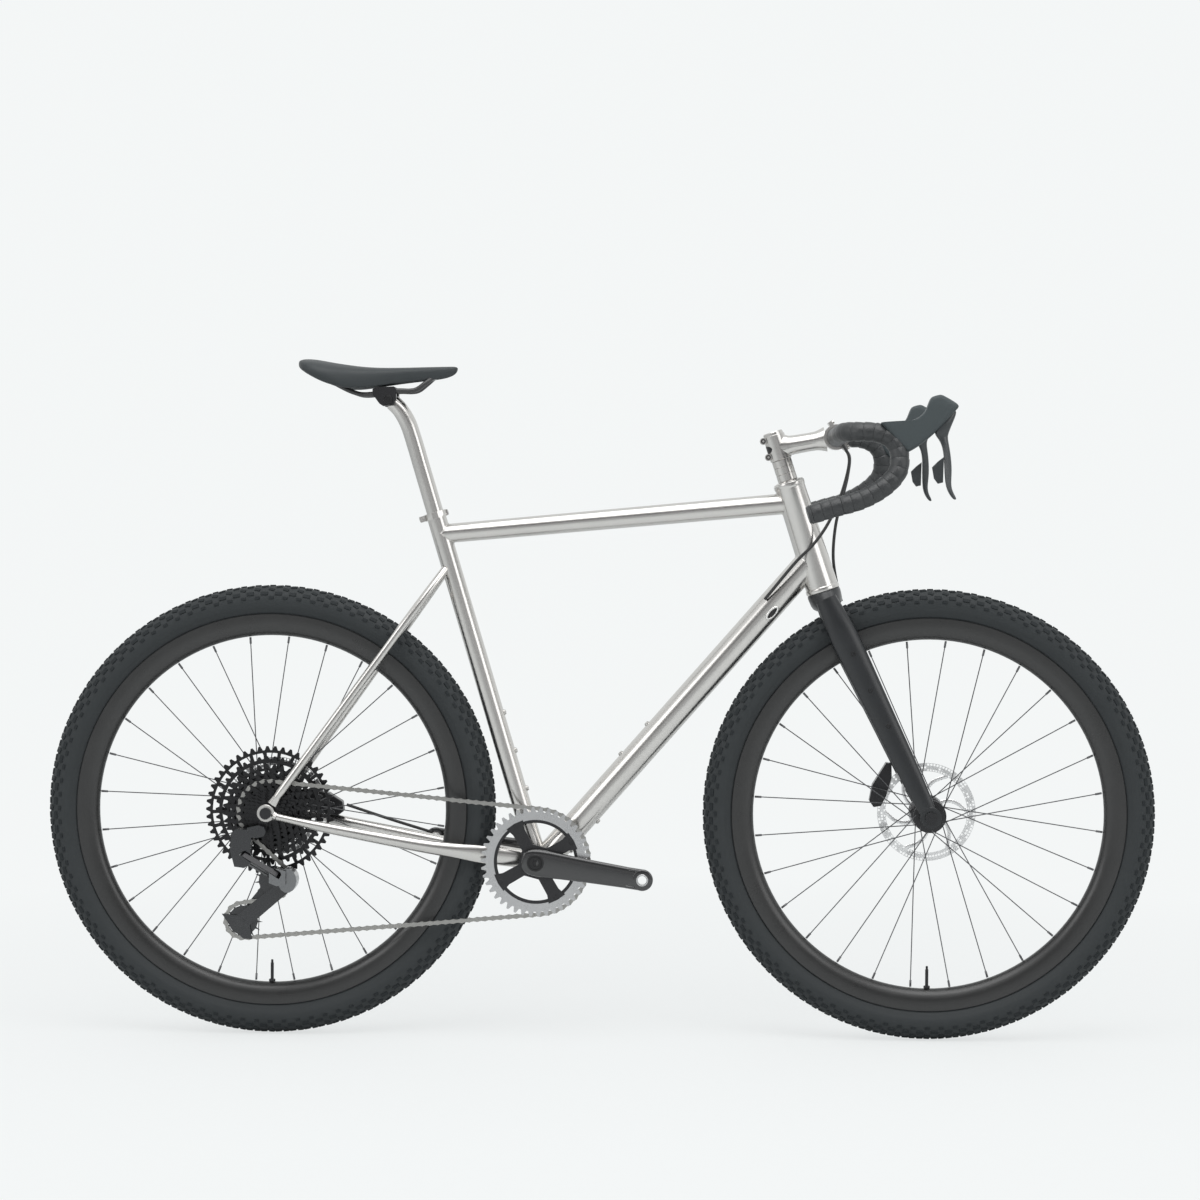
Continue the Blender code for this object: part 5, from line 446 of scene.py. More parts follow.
# Seatpost
# A straight titanium tube with a smooth rearward bend at its head, and a barrel across it for the saddle's
# clamp, with a black bolt in each end. It is held by a slotted collar on the seat tube.
BARREL = Vector((-341.0, 0, 1024.0))
bm = bmesh.new()
post = [SEAT_TOP - SEAT_UP * 110, SEAT_TOP + SEAT_UP * 60, SEAT_TOP + SEAT_UP * 125]
bend = post[-1]
path = curve(post + [bend + Vector(p) for p in ((-9, 0, 25), (-21, 0, 45), (-33, 0, 57))], 48)
swept(bm, path, [13.6] * 42 + [13.5, 13.4, 13.3, 13.2, 13.1, 13.0], 48)
swept(bm, [BARREL - Vector((0, 28.6, 0)), BARREL + Vector((0, 28.6, 0))], 7, 28, hint=(1, 0, 0))
piece("seatpost_brushed", bm, bare_metal, "seatpost", ["seatpost"], split=35)
bm = bmesh.new()
for side in (-1, 1):
    lathe(bm, [(7.0, 27.6), (7.0, 28.6), (6.4, 29.4), (3.2, 29.4), (2.8, 28.8), (0.01, 28.8)], BARREL,
          (0, side, 0), 24)
piece("saddle_bolts", bm, black_bolt, "seatpost", split=35)


def softened(node, mat, body, width):
    """A merged copy of a CAD node with its edges rounded, in the node's stead."""
    angle = 28
    bm = bmesh.new()
    bm.from_mesh(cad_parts[node].data)
    bmesh.ops.remove_doubles(bm, verts=bm.verts, dist=1e-6)
    bmesh.ops.dissolve_limit(bm, angle_limit=radians(0.5), verts=bm.verts, edges=bm.edges)
    thing = piece(node + "_rounded", bm, mat, body, [node], split=angle)
    rounding = thing.modifiers.new("edges", "BEVEL")
    rounding.width = width * 0.001
    rounding.segments = 2
    rounding.limit_method = "ANGLE"
    rounding.angle_limit = radians(angle)
    rounding.harden_normals = True


softened("seat_clamp", bare_metal, "frame", 0.6)

# Headset spacers
# A thin conical cover over the upper bearing and three turned rings that lift the stem.
CROWN = Vector((358.253, 0, 720.4))
SPACER = 35 / 3
bm = bmesh.new()
profile = [(14.4, 183.9), (23.4, 183.9), (24.0, 184.4), (23.8, 185.2), (18.2, 186.9)]
for k in range(3):
    low = 187.1 + k * SPACER
    profile += [(15.3, low), (15.9, low + 0.5), (15.9, low + SPACER - 0.7), (15.3, low + SPACER - 0.2)]
profile += [(14.4, 222.0), (14.4, 183.9)]
lathe(bm, profile, CROWN, HEAD_UP, 64)
piece("headset_spacers_turned", bm, bare_metal, "steering", ["headset_spacers"], split=35)

# Stem
# A welded stem: an arm that swells into both ends, a round clamp with a domed cap and two pinch bolts behind,
# with a black sheet on the clamp between them as painted shade for the opening there, and a split ring with a
# windowed faceplate held by four bolts.
STEM_CLAMP = Vector((282.9, 0, 951.1))
STEM_WAY = Vector((cos(radians(10.1)), 0, sin(radians(10.1))))
BAR_MIDDLE = Vector((376.6, 0, 967.8))
bm = bmesh.new()
lathe(bm, [(14.4, -20.5), (17.0, -20.5), (17.5, -20.0), (17.5, 20.0), (17.1, 20.5), (16.2, 20.7),
           (16.0, 24.6), (14.8, 26.0), (5.4, 26.2), (5.0, 25.6), (4.6, 23.0), (0.01, 23.0)],
      STEM_CLAMP, HEAD_UP, 56)
arm, arm_sizes = [], []
for along_arm, tall, wide in ((2, 21, 17.3), (14, 18.6, 16.6), (20, 16.2, 15.9), (28, 15.2, 15.7),
                              (50, 14.8, 15.6), (62, 15.2, 16.4), (70, 17.0, 17.8), (78, 20.0, 19.0)):
    arm.append(STEM_CLAMP + STEM_WAY * along_arm)
    arm_sizes.append((wide, tall))
swept(bm, *refined(arm, arm_sizes, 28), sides=40)
pinches = [STEM_CLAMP - STEM_WAY * 18.9 + HEAD_UP * lift for lift in (-13.5, 13.5)]
half_pinch = Vector((0, 11, 0))
for at in pinches:
    swept(bm, [at - half_pinch, at + half_pinch], 5.5, 24, hint=(1, 0, 0))
swept(bm, [BAR_MIDDLE - Vector((0, 19.5, 0)), BAR_MIDDLE + Vector((0, 19.5, 0))], 20.2, 56, hint=(1, 0, 0))
piece("stem_welded", bm, bare_metal, "steering", ["stem"], split=35)
softened("stem_faceplate", bare_metal, "steering", 0.8)
bm = bmesh.new()
for at in pinches:
    lathe(bm, [(3.9, -0.4), (3.9, 0.8), (3.5, 1.3), (2.1, 1.3), (1.9, -0.2), (0.01, -0.2)], at - half_pinch,
          (0, -1, 0), 20)
# A thin black sheet on the back of the clamp between the pinch bolts: painted shade for the opening there.
edges = []
for way in (-1, 1):
    verts = []
    for k in range(21):
        share = sin(pi / 2 * (k / 10 - 1))
        t = radians(58 * share)
        h = 7.0 * sqrt(max(1 - share ** 2, 0.001))
        out = Vector((0, sin(t), 0)) - head_fore * cos(t)
        verts.append(bm.verts.new((STEM_CLAMP + out * 17.75 + HEAD_UP * h * way) * 0.001))
    edges += [bm.edges.new(pair) for pair in zip(verts, verts[1:])]
bmesh.ops.bridge_loops(bm, edges=edges)
piece("stem_bolts_and_painted_shade", bm, black_bolt, "steering", split=35)

# Tyres
# Gravel tyres of black rubber: a round casing, slightly paler, with a row of slanted knobs along its middle
# and four rows down each side.
FRONT_AXLE = Vector((529.25, 0, 363.0))
TYRE_MIDDLE, CASING = 338, 23.0
rubber = finish("tyre_rubber", (0.011, 0.014, 0.016), (0.022, 0.026, 0.028), (0.55, 0.75), scale=60,
                fine=1200, bump=0.25, specular=0.25)
sidewall = finish("tyre_sidewall", (0.022, 0.026, 0.028), (0.036, 0.040, 0.042), (0.5, 0.66), scale=60,
                  fine=1200, bump=0.15, specular=0.3)


def knob(bm, around, across, size, lift, lean):
    """One tread block, sunk into the casing at an angle round the wheel and one across the tread."""
    long, wide, tall = size
    made = bmesh.ops.create_cube(bm, size=1)["verts"]
    top = [v for v in made if v.co.z > 0]
    bmesh.ops.scale(bm, vec=(0.82, 0.82, 1), verts=top)
    bmesh.ops.scale(bm, vec=(long * 0.001, wide * 0.001, tall * 0.001), verts=made)
    bmesh.ops.rotate(bm, cent=(0, 0, 0), matrix=Matrix.Rotation(lean, 3, "Z"), verts=made)
    bmesh.ops.translate(bm, vec=(0, 0, lift * 0.001), verts=made)
    bmesh.ops.rotate(bm, cent=(0, 0, 0), matrix=Matrix.Rotation(-across, 3, "X"), verts=made)
    bmesh.ops.translate(bm, vec=(0, 0, TYRE_MIDDLE * 0.001), verts=made)
    bmesh.ops.rotate(bm, cent=(0, 0, 0), matrix=Matrix.Rotation(around, 3, "Y"), verts=made)


def build_tyre(which, axle, body):
    bm = bmesh.new()
    pairs = 48
    half = pi / pairs / 2
    for k in range(2):
        a = 2 * half * k
        knob(bm, a, 0, (10.5, 4.6, 4), 22.6, radians(18 - 36 * k))
        for s in (-1, 1):
            knob(bm, a + half, s * radians(20), (11.5, 5.2, 4), 22.5, s * radians(-14))
            knob(bm, a, s * radians(41), (10.5, 6.0, 4), 22.2, s * radians(20))
            knob(bm, a + half, s * radians(61), (13.0, 6.6, 4.4), 22.3, 0)
            knob(bm, a, s * radians(79), (8.5, 5.0, 3.4), 22.6, 0)
    bmesh.ops.spin(bm, geom=bm.verts[:] + bm.edges[:] + bm.faces[:], cent=(0, 0, 0), axis=(0, 1, 0),
                   angle=2 * pi * (pairs - 1) / pairs, steps=pairs - 1, use_duplicate=True)
    bmesh.ops.translate(bm, vec=axle * 0.001, verts=bm.verts)
    piece(which + "_tyre_tread", bm, rubber, body, [which + "_tyre"], split=30)
    bm = bmesh.new()
    profile = [(311.3, 12.4), (316.9, 13.1), (319.5, 16.0)]
    for k in range(17):
        t = radians(-40 + 130 * k / 16)
        profile.append((TYRE_MIDDLE + CASING * sin(t), CASING * cos(t)))
    profile += [(r, -h) for r, h in reversed(profile[:-1])]
    lathe(bm, profile, axle, (0, 1, 0), 120)
    piece(which + "_tyre_casing", bm, sidewall, body, split=30)


build_tyre("front", FRONT_AXLE, "front_wheel")
build_tyre("rear", REAR_AXLE, "rear_wheel")

# Rims
# Deep hooked rims of dark carbon fibre with softly rounded sides, satin lacquered, with a valve through each.
rim_carbon = finish("rim_carbon", (0.014, 0.014, 0.014), (0.024, 0.024, 0.024), (0.26, 0.38), coat=0.3,
                    coat_rough=0.22, scale=26, fine=420, bump=0.04)
dark_fitting = finish("dark_fitting", (0.02, 0.02, 0.022), (0.05, 0.05, 0.052), (0.3, 0.45), metal=0.7)


def build_rim(which, axle, body):
    bm = bmesh.new()
    outer = [(315.6, 13.2), (316.3, 14.3), (315.4, 15.4), (310, 15.5), (302, 15.2), (296, 14.1), (290, 11.8),
             (285.5, 8.4), (282.3, 4.6), (281.2, 1.8)]
    bed = [(311.2, -12.4), (308, -10), (306.5, 0), (308, 10), (311.2, 12.4)]
    lathe(bm, outer + [(r, -h) for r, h in reversed(outer)] + bed + [outer[0]], axle, (0, 1, 0), 144)
    piece(which + "_rim_carbon", bm, rim_carbon, body, [which + "_rim"], split=40)
    bm = bmesh.new()
    lathe(bm, [(0.01, -245), (1.6, -245), (1.9, -246), (1.9, -250), (2.6, -250.5), (2.6, -281)], axle,
          (0, 0, 1), 16)
    lathe(bm, [(2.7, -276.5), (4.8, -276.8), (5.2, -277.6), (5.2, -280.4), (2.7, -281)], axle, (0, 0, 1), 20)
    piece(which + "_valve", bm, dark_fitting, body, split=35)


build_rim("front", FRONT_AXLE, "front_wheel")
build_rim("rear", REAR_AXLE, "rear_wheel")

# Hubs and spokes
# Black alloy hubs with a flange on each side, laced with fourteen black steel spokes a side, each crossing
# two others, that end in nipples at the rim.
hub_black = finish("hub_black", (0.016, 0.016, 0.018), (0.032, 0.032, 0.034), (0.22, 0.36), metal=0.5,
                   coat=0.2)
SIDE_SPOKES = 14
spoke_steel = finish("spoke_steel", (0.10, 0.10, 0.105), (0.17, 0.17, 0.175), (0.25, 0.36), metal=1.0)


def build_hub(which, axle, flanges, half, rotor_y, body, spokes_of):
    l, r = flanges
    bm = bmesh.new()
    lathe(bm, [(6.5, -half), (8.2, -half), (8.5, -half + 0.5), (8.5, r - 6), (13, r - 5), (13.6, r - 2.4),
               (25.6, r - 2.0), (26.4, r - 1.2), (26.4, r + 1.2), (25.4, r + 2.2), (16, r + 4), (12, r + 12),
               (11.6, (l + r) / 2), (12, l - 12), (16, l - 4), (25.4, l - 2.2), (26.4, l - 1.2),
               (26.4, l + 1.2), (25.4, l + 2.2), (17.1, l + 2.6), (17.1, rotor_y - 1.2), (15.5, rotor_y + 2),
               (8.5, rotor_y + 2), (8.5, half - 0.5), (8.2, half), (6.5, half)], axle, (0, 1, 0), 48)
    piece(which + "_hub_body", bm, hub_black, body, [which + "_hub"], split=35)
    bm = bmesh.new()
    step = 2 * pi / SIDE_SPOKES
    for i, flange in enumerate(flanges):
        for k in range(SIDE_SPOKES):
            lead = 1 if k % 2 else -1
            rim_angle = step * k + i * step / 2 + pi / 24
            hub_angle = rim_angle + lead * 2 * step
            y = flange + lead * 1.6
            near = axle + Vector((cos(hub_angle) * 22.5, y, sin(hub_angle) * 22.5))
            out = Vector((cos(rim_angle), 0, sin(rim_angle)))
            far = axle + out * 282 + Vector((0, flange * 0.04, 0))
            d = (far - near).normalized()
            swept(bm, [near, near + d * 6, near + d * 9, far - d * 3], [1.05, 1.05, 0.85, 0.85], 6)
            swept(bm, [far - d * 13, far - d * 12.4, far - d * 2], [1.1, 1.75, 1.75], 6)
    piece(which + "_lacing", bm, spoke_steel, body, spokes_of, split=50)


build_hub("front", FRONT_AXLE, (22, -36), 49.7, 39.5, "front_wheel", ())
build_hub("rear", REAR_AXLE, (32, -19), 70.7, 55.5, "rear_wheel", ["rear_spokes"])

# Brake discs
# Thin ground steel discs, drilled all over their track, on raked arms from a ring at the hub.
disc_steel = finish("disc_steel", (0.74, 0.74, 0.74), (0.86, 0.86, 0.86), (0.22, 0.34), metal=1.0, scale=30,
                    fine=1500, bump=0.05)


def build_disc(which, axle, y, body):
    bm = bmesh.new()
    segments = 96
    bmesh.ops.create_circle(bm, cap_ends=False, radius=0.0662, segments=segments)
    edges = list(bm.edges)
    for radius in (70.0, 74.6, 79.6):
        verts, edges, _ = extruded(bm, edges)
        now = verts[0].co.length
        bmesh.ops.scale(bm, vec=(radius * 0.001 / now,) * 3, verts=verts)
    faces = sorted(bm.faces, key=lambda f: (f.calc_center_median().length, atan2(*f.calc_center_median().xy)))
    drilled = [f for k, f in enumerate(faces) if (k + k // segments) % 2 == 0]
    bmesh.ops.inset_individual(bm, faces=drilled, thickness=0.0011, depth=0)
    bmesh.ops.delete(bm, geom=drilled, context="FACES")
    bmesh.ops.solidify(bm, geom=list(bm.faces), thickness=0.0018)
    middle = sum(v.co.z for v in bm.verts) / len(bm.verts)
    bmesh.ops.translate(bm, vec=(0, 0, -middle), verts=bm.verts)
    for k in range(6):
        a = 2 * pi * k / 6
        path = [Vector((cos(a + t) * r, sin(a + t) * r, 0))
                for r, t in ((25, 0.62), (38, 0.5), (52, 0.28), (67.5, 0))]
        swept(bm, curve(path, 12), [(0.75, 3.0)] * 12, 12, hint=(0, 0, 1))
    lathe(bm, [(17.5, -1), (28.5, -1), (29.4, 0), (28.5, 1), (17.5, 1), (17.5, -1)], (0, 0, 0), (0, 0, 1), 40)
    bmesh.ops.rotate(bm, cent=(0, 0, 0), matrix=Matrix.Rotation(radians(90), 3, "X"), verts=bm.verts)
    bmesh.ops.translate(bm, vec=(axle.x * 0.001, y * 0.001, axle.z * 0.001), verts=bm.verts)
    piece(which + "_disc", bm, disc_steel, body, [which + "_rotor"], split=35)


build_disc("front", FRONT_AXLE, 39.5, "front_wheel")
build_disc("rear", REAR_AXLE, 55.5, "rear_wheel")

# Fork
# A one-piece carbon fork in matte black: a broad crown under the head tube, two blades that taper down and
# forward, each with three black threaded bosses, and round ends that take the axle.
fork_carbon = finish("fork_carbon", (0.008, 0.009, 0.011), (0.014, 0.016, 0.018), (0.32, 0.42), coat=0.4,
                     coat_rough=0.28, scale=30, fine=900, bump=0.05, specular=0.4)
LEG = [(361.3, 33.0, 708.8), (383.4, 39.5, 663.4), (395.2, 40.5, 639.0), (426.8, 42.5, 574.1),
       (463.0, 47.0, 499.4), (497.7, 52.0, 427.9), (518.2, 55.5, 385.7), (529.3, 55.5, 363.0)]
LEG_SIZES = [(17, 10.5), (22, 11.5), (23, 11.5), (21.3, 10.5), (19.2, 9), (17.2, 7.5), (14.5, 5.8), (12, 5.2)]
bm = bmesh.new()
crown = [(0, 26.4, 26.4), (4, 27.2, 28.2), (10, 26.8, 35), (17, 26, 41), (23, 24, 44.5), (27, 20, 43)]
swept(bm, [CROWN - HEAD_UP * d for d, _, _ in crown], [(a, b) for _, a, b in crown], 48, hint=head_fore)
for side in (-1, 1):
    path = [Vector((x, y * side, z)) for x, y, z in LEG]
    swept(bm, *refined(path, LEG_SIZES, 36), sides=32, hint=head_fore)
    y = side * 55.8
    lathe(bm, [(6.5, -5.5), (16.2, -5.5), (17, -4.6), (17, 4.6), (16.2, 5.5), (6.5, 5.5), (6.5, -5.5)],
          FRONT_AXLE + Vector((0, y, 0)), (0, 1, 0), 40)
piece("fork_moulding", bm, fork_carbon, "steering", ["fork"], split=35)
bm = bmesh.new()
for side in (-1, 1):
    for x, z, y in ((404.8, 622.6, 52.5), (432, 564.7, 53.3), (461.3, 508, 55.6)):
        lathe(bm, [(4.2, -3), (4.2, 0.9), (3.9, 1.2), (2.2, 1.2), (2.0, 0.2), (0.01, 0.2)],
              Vector((x, side * (y - 0.6), z)), (0, side, 0), 20)
piece("fork_bosses", bm, black_bolt, "steering", split=35)

# Saddle
# A short saddle with a broad upswept tail and a slim nose, a shallow channel along its middle, covered in
# matte black synthetic leather over firm foam, on carbon rails.
saddle_cover = finish("saddle_cover", (0.022, 0.027, 0.029), (0.036, 0.042, 0.045), (0.42, 0.56), scale=50,
                      fine=1500, bump=0.35, specular=0.4)
rail_carbon = finish("rail_carbon", (0.018, 0.018, 0.019), (0.03, 0.03, 0.031), (0.3, 0.4), coat=0.3)
CLAMP_AT = Vector((-345.5, 0, 1032.0))
SADDLE_TAIL, SADDLE_LENGTH, SADDLE_HALF = -485.9, 255, 74


def ringed(bm, rings):
    """Close a body over rings of points, each joined to the next."""
    loops = []
    for ring in rings:
        verts = [bm.verts.new(Vector(p) * 0.001) for p in ring]
        loops.append([bm.edges.new((a, b)) for a, b in zip(verts, verts[1:] + verts[:1])])
    for a, b in zip(loops, loops[1:]):
        bmesh.ops.bridge_loops(bm, edges=a + b)
    for end in (loops[0], loops[-1]):
        bmesh.ops.contextual_create(bm, geom=end)


def rounded(thing, levels):
    """Smooth a coarse closed body with a subdivision surface."""
    surface = thing.modifiers.new("round", "SUBSURF")
    surface.levels = surface.render_levels = levels


def saddle_ring(share, wide, top, low, fall):
    """A cross section: its share of the length, half width, upper and lower height, and the sides' fall."""
    x = SADDLE_TAIL + share * SADDLE_LENGTH
    w = wide * SADDLE_HALF
    dip = 2.5 if 0.05 < share < 0.7 else 0.5
    top, low = CLAMP_AT.z + top, CLAMP_AT.z + low
    half = [(0, top - dip), (w * 0.16, top), (w * 0.5, top - fall * 0.18), (w * 0.82, top - fall * 0.55),
            (w, top - fall * 1.25), (w * 0.97, low), (w * 0.5, low + (top - low) * 0.4)]
    ring = half + [(0, low + (top - low) * 0.45)] + [(-a, b) for a, b in reversed(half[1:])]
    return [(x, a, b) for a, b in ring]


stations = [(0, 0.5, 54.4, 45, 3), (0.03, 0.82, 57.9, 34, 8), (0.11, 0.98, 57.5, 20, 13),
            (0.2, 0.93, 53, 8, 15), (0.33, 0.68, 48, 0.5, 13), (0.46, 0.46, 44.5, 5.5, 9),
            (0.62, 0.31, 44.5, 13, 6.5), (0.8, 0.25, 45.8, 19, 5), (0.94, 0.21, 46.6, 24, 4),
            (1, 0.10, 46.8, 36, 2)]
bm = bmesh.new()
ringed(bm, [saddle_ring(*station) for station in stations])
saddle = piece("saddle_cover", bm, saddle_cover, "saddle", ["saddle"])
rounded(saddle, 3)

rail_side = [(-90, 30, 24), (-74, 24, 14), (-52, 22, 4), (-31, 22, 0.5), (16, 22, 6.5), (38, 22, 6.5),
             (50, 21.5, 9), (62, 19, 18), (72, 13, 26)]
other_side = [(a, -y, b) for a, y, b in reversed(rail_side)]
rail = [CLAMP_AT + Vector(p) for p in rail_side + [(76, 0, 28)] + other_side]
bm = bmesh.new()
swept(bm, curve(rail, 90), 3.8, 16)
piece("rails_carbon", bm, rail_carbon, "saddle", ["saddle_rails"])

# Handlebar and tape
# A shallow flared drop bar in black, wrapped in cushioned tape whose laps overlap like shingles, with a plug
# in each end.
BAR = [(376.6, 0.0, 967.8), (376.6, 60.0, 967.8), (378.3, 110.0, 969.0), (379.2, 155.0, 970.3),
       (385.4, 185.0, 971.5), (404.7, 202.0, 971.5), (429.4, 207.0, 970.3), (450.5, 210.0, 961.6),
       (461.9, 213.0, 946.7), (464.6, 217.0, 929.3), (461.9, 222.0, 911.4), (449.6, 227.0, 894.6),
       (428.5, 232.0, 878.5), (400.3, 237.0, 864.9), (365.1, 240.0, 854.9), (329.1, 242.0, 843.8)]
LAPS, TAPE_FROM = 27, 46
bar_black = finish("bar_black", (0.018, 0.018, 0.02), (0.03, 0.03, 0.032), (0.3, 0.42), metal=0.4)
tape_black = finish("tape_black", (0.016, 0.018, 0.019), (0.042, 0.044, 0.046), (0.30, 0.50), scale=110,
                    fine=420, bump=0.9, specular=0.55)
bm = bmesh.new()
half_bar = curve(BAR, 90)
whole = [Vector((p.x, -p.y, p.z)) for p in reversed(half_bar[1:])] + half_bar
radii = [15.9 - 4.0 * min(max((abs(p.y) - 30) / 16, 0), 1) for p in whole]
swept(bm, whole, radii, 24, hint=(0, 0, 1))
piece("handlebar_smooth", bm, bar_black, "steering", ["handlebar"], split=50)

for side, name in ((-1, "right"), (1, "left")):
    fine = curve([(x, y * side, z) for x, y, z in BAR], 800)
    lengths = [0.0]
    for a, b in zip(fine, fine[1:]):
        lengths.append(lengths[-1] + (b - a).length)
    start = next(l for l, p in zip(lengths, fine) if abs(p.y) > TAPE_FROM)
    lap = (lengths[-1] - start) / LAPS
    path, sizes = [], []
    for index in range(LAPS):
        for share, grow in ((0.0, 0.7), (0.05, 1.25), (0.5, 0.8), (0.92, 0.0), (0.96, -0.6)):
            want = start + (index + share) * lap
            k = min(range(len(lengths)), key=lambda j: abs(lengths[j] - want))
            path.append(fine[k])
            sizes.append(14.35 + grow * 0.7)
    path.append(fine[-1])
    sizes.append(15.0)
    d = (fine[-1] - fine[-8]).normalized()
    path += [fine[-1] + d * 1.5, fine[-1] + d * 3.0]
    sizes += [14.6, 13.6]
    bm = bmesh.new()
    swept(bm, [path[0] + (fine[0] - path[0]).normalized() * 0.5] + path, [11.0] + sizes, 24, hint=(0, 0, 1))
    lathe(bm, [(0.01, 0), (9, 0), (13.4, 0), (13.6, 1.2), (12.4, 3.2), (6, 3.4), (0.01, 3.2)],
          fine[-1] + d * 2.4, d, 28)
    piece("bar_tape_wrap_" + name, bm, tape_black, "steering", ["bar_tape_" + name], split=32)

# Hoods, levers and paddles
# Rubber hoods over the brake and shift bodies, their dark rubber lightened with painted sheen, a bent black
# lever hanging from each, and a small paddle behind the lever.
# The hoods' colour is the rubber's own dark grey lightened with painted sheen.
hood_rubber = finish("hood_rubber", (0.040, 0.051, 0.054), (0.056, 0.068, 0.072), (0.50, 0.64), scale=70,
                     fine=1500, bump=0.3, specular=0.38)
lever_black = finish("lever_black", (0.020, 0.024, 0.026), (0.032, 0.037, 0.040), (0.28, 0.38), coat=0.3)
HOOD = [(57, 18), (62, 18.5), (83, 17), (106, 20), (121, 28), (129, 39), (133.5, 53), (136, 57), (149, 60.5),
        (153, 59.5), (175, 47), (178, 42), (172, 36), (154, 15), (137, -2), (120, -16), (101, -28), (97, -27),
        (79, -6)]
HOOD_OUT = 212
PIVOT = BAR_MIDDLE + Vector((163.3, 0, 12))


def refinished(name, mat):
    """Give a CAD node that keeps its shape its own finish."""
    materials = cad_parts[name].data.materials
    materials.clear()
    materials.append(mat)


for side, name in ((-1, "right"), (1, "left")):
    hood_y = side * HOOD_OUT
    cx = sum(a for a, _ in HOOD) / len(HOOD)
    cz = sum(b for _, b in HOOD) / len(HOOD)
    rings = []
    for y, grow in ((-16, 0.80), (-14.6, 0.95), (-8, 1.02), (8, 1.02), (14.6, 0.95), (16, 0.80)):
        rings.append([(BAR_MIDDLE.x + cx + (a - cx) * grow, hood_y + y, BAR_MIDDLE.z + cz + (b - cz) * grow)
                      for a, b in HOOD])
    bm = bmesh.new()
    ringed(bm, rings)
    hood = piece("hood_cover_" + name, bm, hood_rubber, "steering", ["hood_" + name])
    rounded(hood, 2)
    rings = []
    for back, front, z, wide, out in (
        (6, 12, 25, 1.0, 0), (-4, 10, 15, 1.5, 0), (-14, 5, 3, 2.0, 0), (-23, 1, -8, 2.0, 0),
        (-20, -1.5, -15, 1.5, 0), (-12.5, -0.5, -24, 1.1, 0.06), (-8.5, 2.5, -42, 1, 0.25),
        (-8.3, 4.4, -68, 0.95, 0.55), (-7.2, 1.4, -90, 0.95, 0.8), (-3, 5, -102, 0.9, 0.94),
        (5, 12, -113, 0.7, 1),
    ):
        y = side * (HOOD_OUT + out * 30)
        w = 5.8 * wide
        section = ((back, -w + 1.5), (back + 1.5, -w), (front, -w * 0.8), (front, w * 0.8), (back + 1.5, w),
                   (back, w - 1.5))
        rings.append([(PIVOT.x + a, y + side * b, PIVOT.z + z) for a, b in section])
    bm = bmesh.new()
    ringed(bm, rings)
    lever = piece("lever_blade_" + name, bm, lever_black, "lever_" + name, ["brake_lever_" + name])
    rounded(lever, 2)
    refinished("shift_paddle_" + name, lever_black)

# Brake hoses
# Black hydraulic hoses that leave the tape beside the stem and run to the fork, to the port in the down tube
# and, from inside the frame, along the left chainstay to the rear caliper.
hose_black = finish("hose_black", (0.016, 0.016, 0.016), (0.024, 0.024, 0.024), (0.32, 0.42))
FRONT_HOSE = [BAR_MIDDLE + Vector(p) for p in (
    (5, 53, -7), (12, 47, -14), (23, 24, -30), (19, -2, -62), (11, -6, -96), (1, 6, -140), (-2, 22, -190),
    (4, 32, -232))] + [Vector((389.0, 34.0, 704.0))]
REAR_HOSE = [BAR_MIDDLE + Vector(p) for p in (
    (4, -53, -7), (10, -47, -15), (20, -34, -38), (9, -28, -88), (-11, -31, -134.5), (-35, -37, -170),
    (-66, -37, -202))] + [Vector((264.0, -22.5, 708.0))]
TAIL_HOSE = [(-274.5, 58.8, 320.5), (-345, 61.5, 341.5), (-416.0, 61.5, 364.5)]
for name, body, route, node in (("front_hose_smooth", "steering", FRONT_HOSE, "front_brake_hose"),
                                ("rear_hose_smooth", None, REAR_HOSE, "rear_brake_hose"),
                                ("rear_hose_tail_smooth", "frame", TAIL_HOSE, "rear_brake_hose_tail")):
    line = curve(route, 60)
    bm = bmesh.new()
    swept(bm, line, 2.5, 16)
    hose = piece(name, bm, hose_black, body, [node])
    if body is None:
        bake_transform(hose)

# Cassette
# Twelve black steel sprockets in one cluster: the ten smaller ones round one stepped cone, the two largest on
# slender raked arms, with a row of windows under the teeth of the seven largest.
cog_black = finish("cog_black", (0.018, 0.018, 0.019), (0.045, 0.045, 0.047), (0.22, 0.36), metal=0.8)
COGS = (10, 12, 14, 16, 18, 21, 24, 28, 32, 36, 42, 50)
PITCH = 12.7
FIRST_COG, COG_STEP, COG_THICK = -65.6, 3.65, 1.8


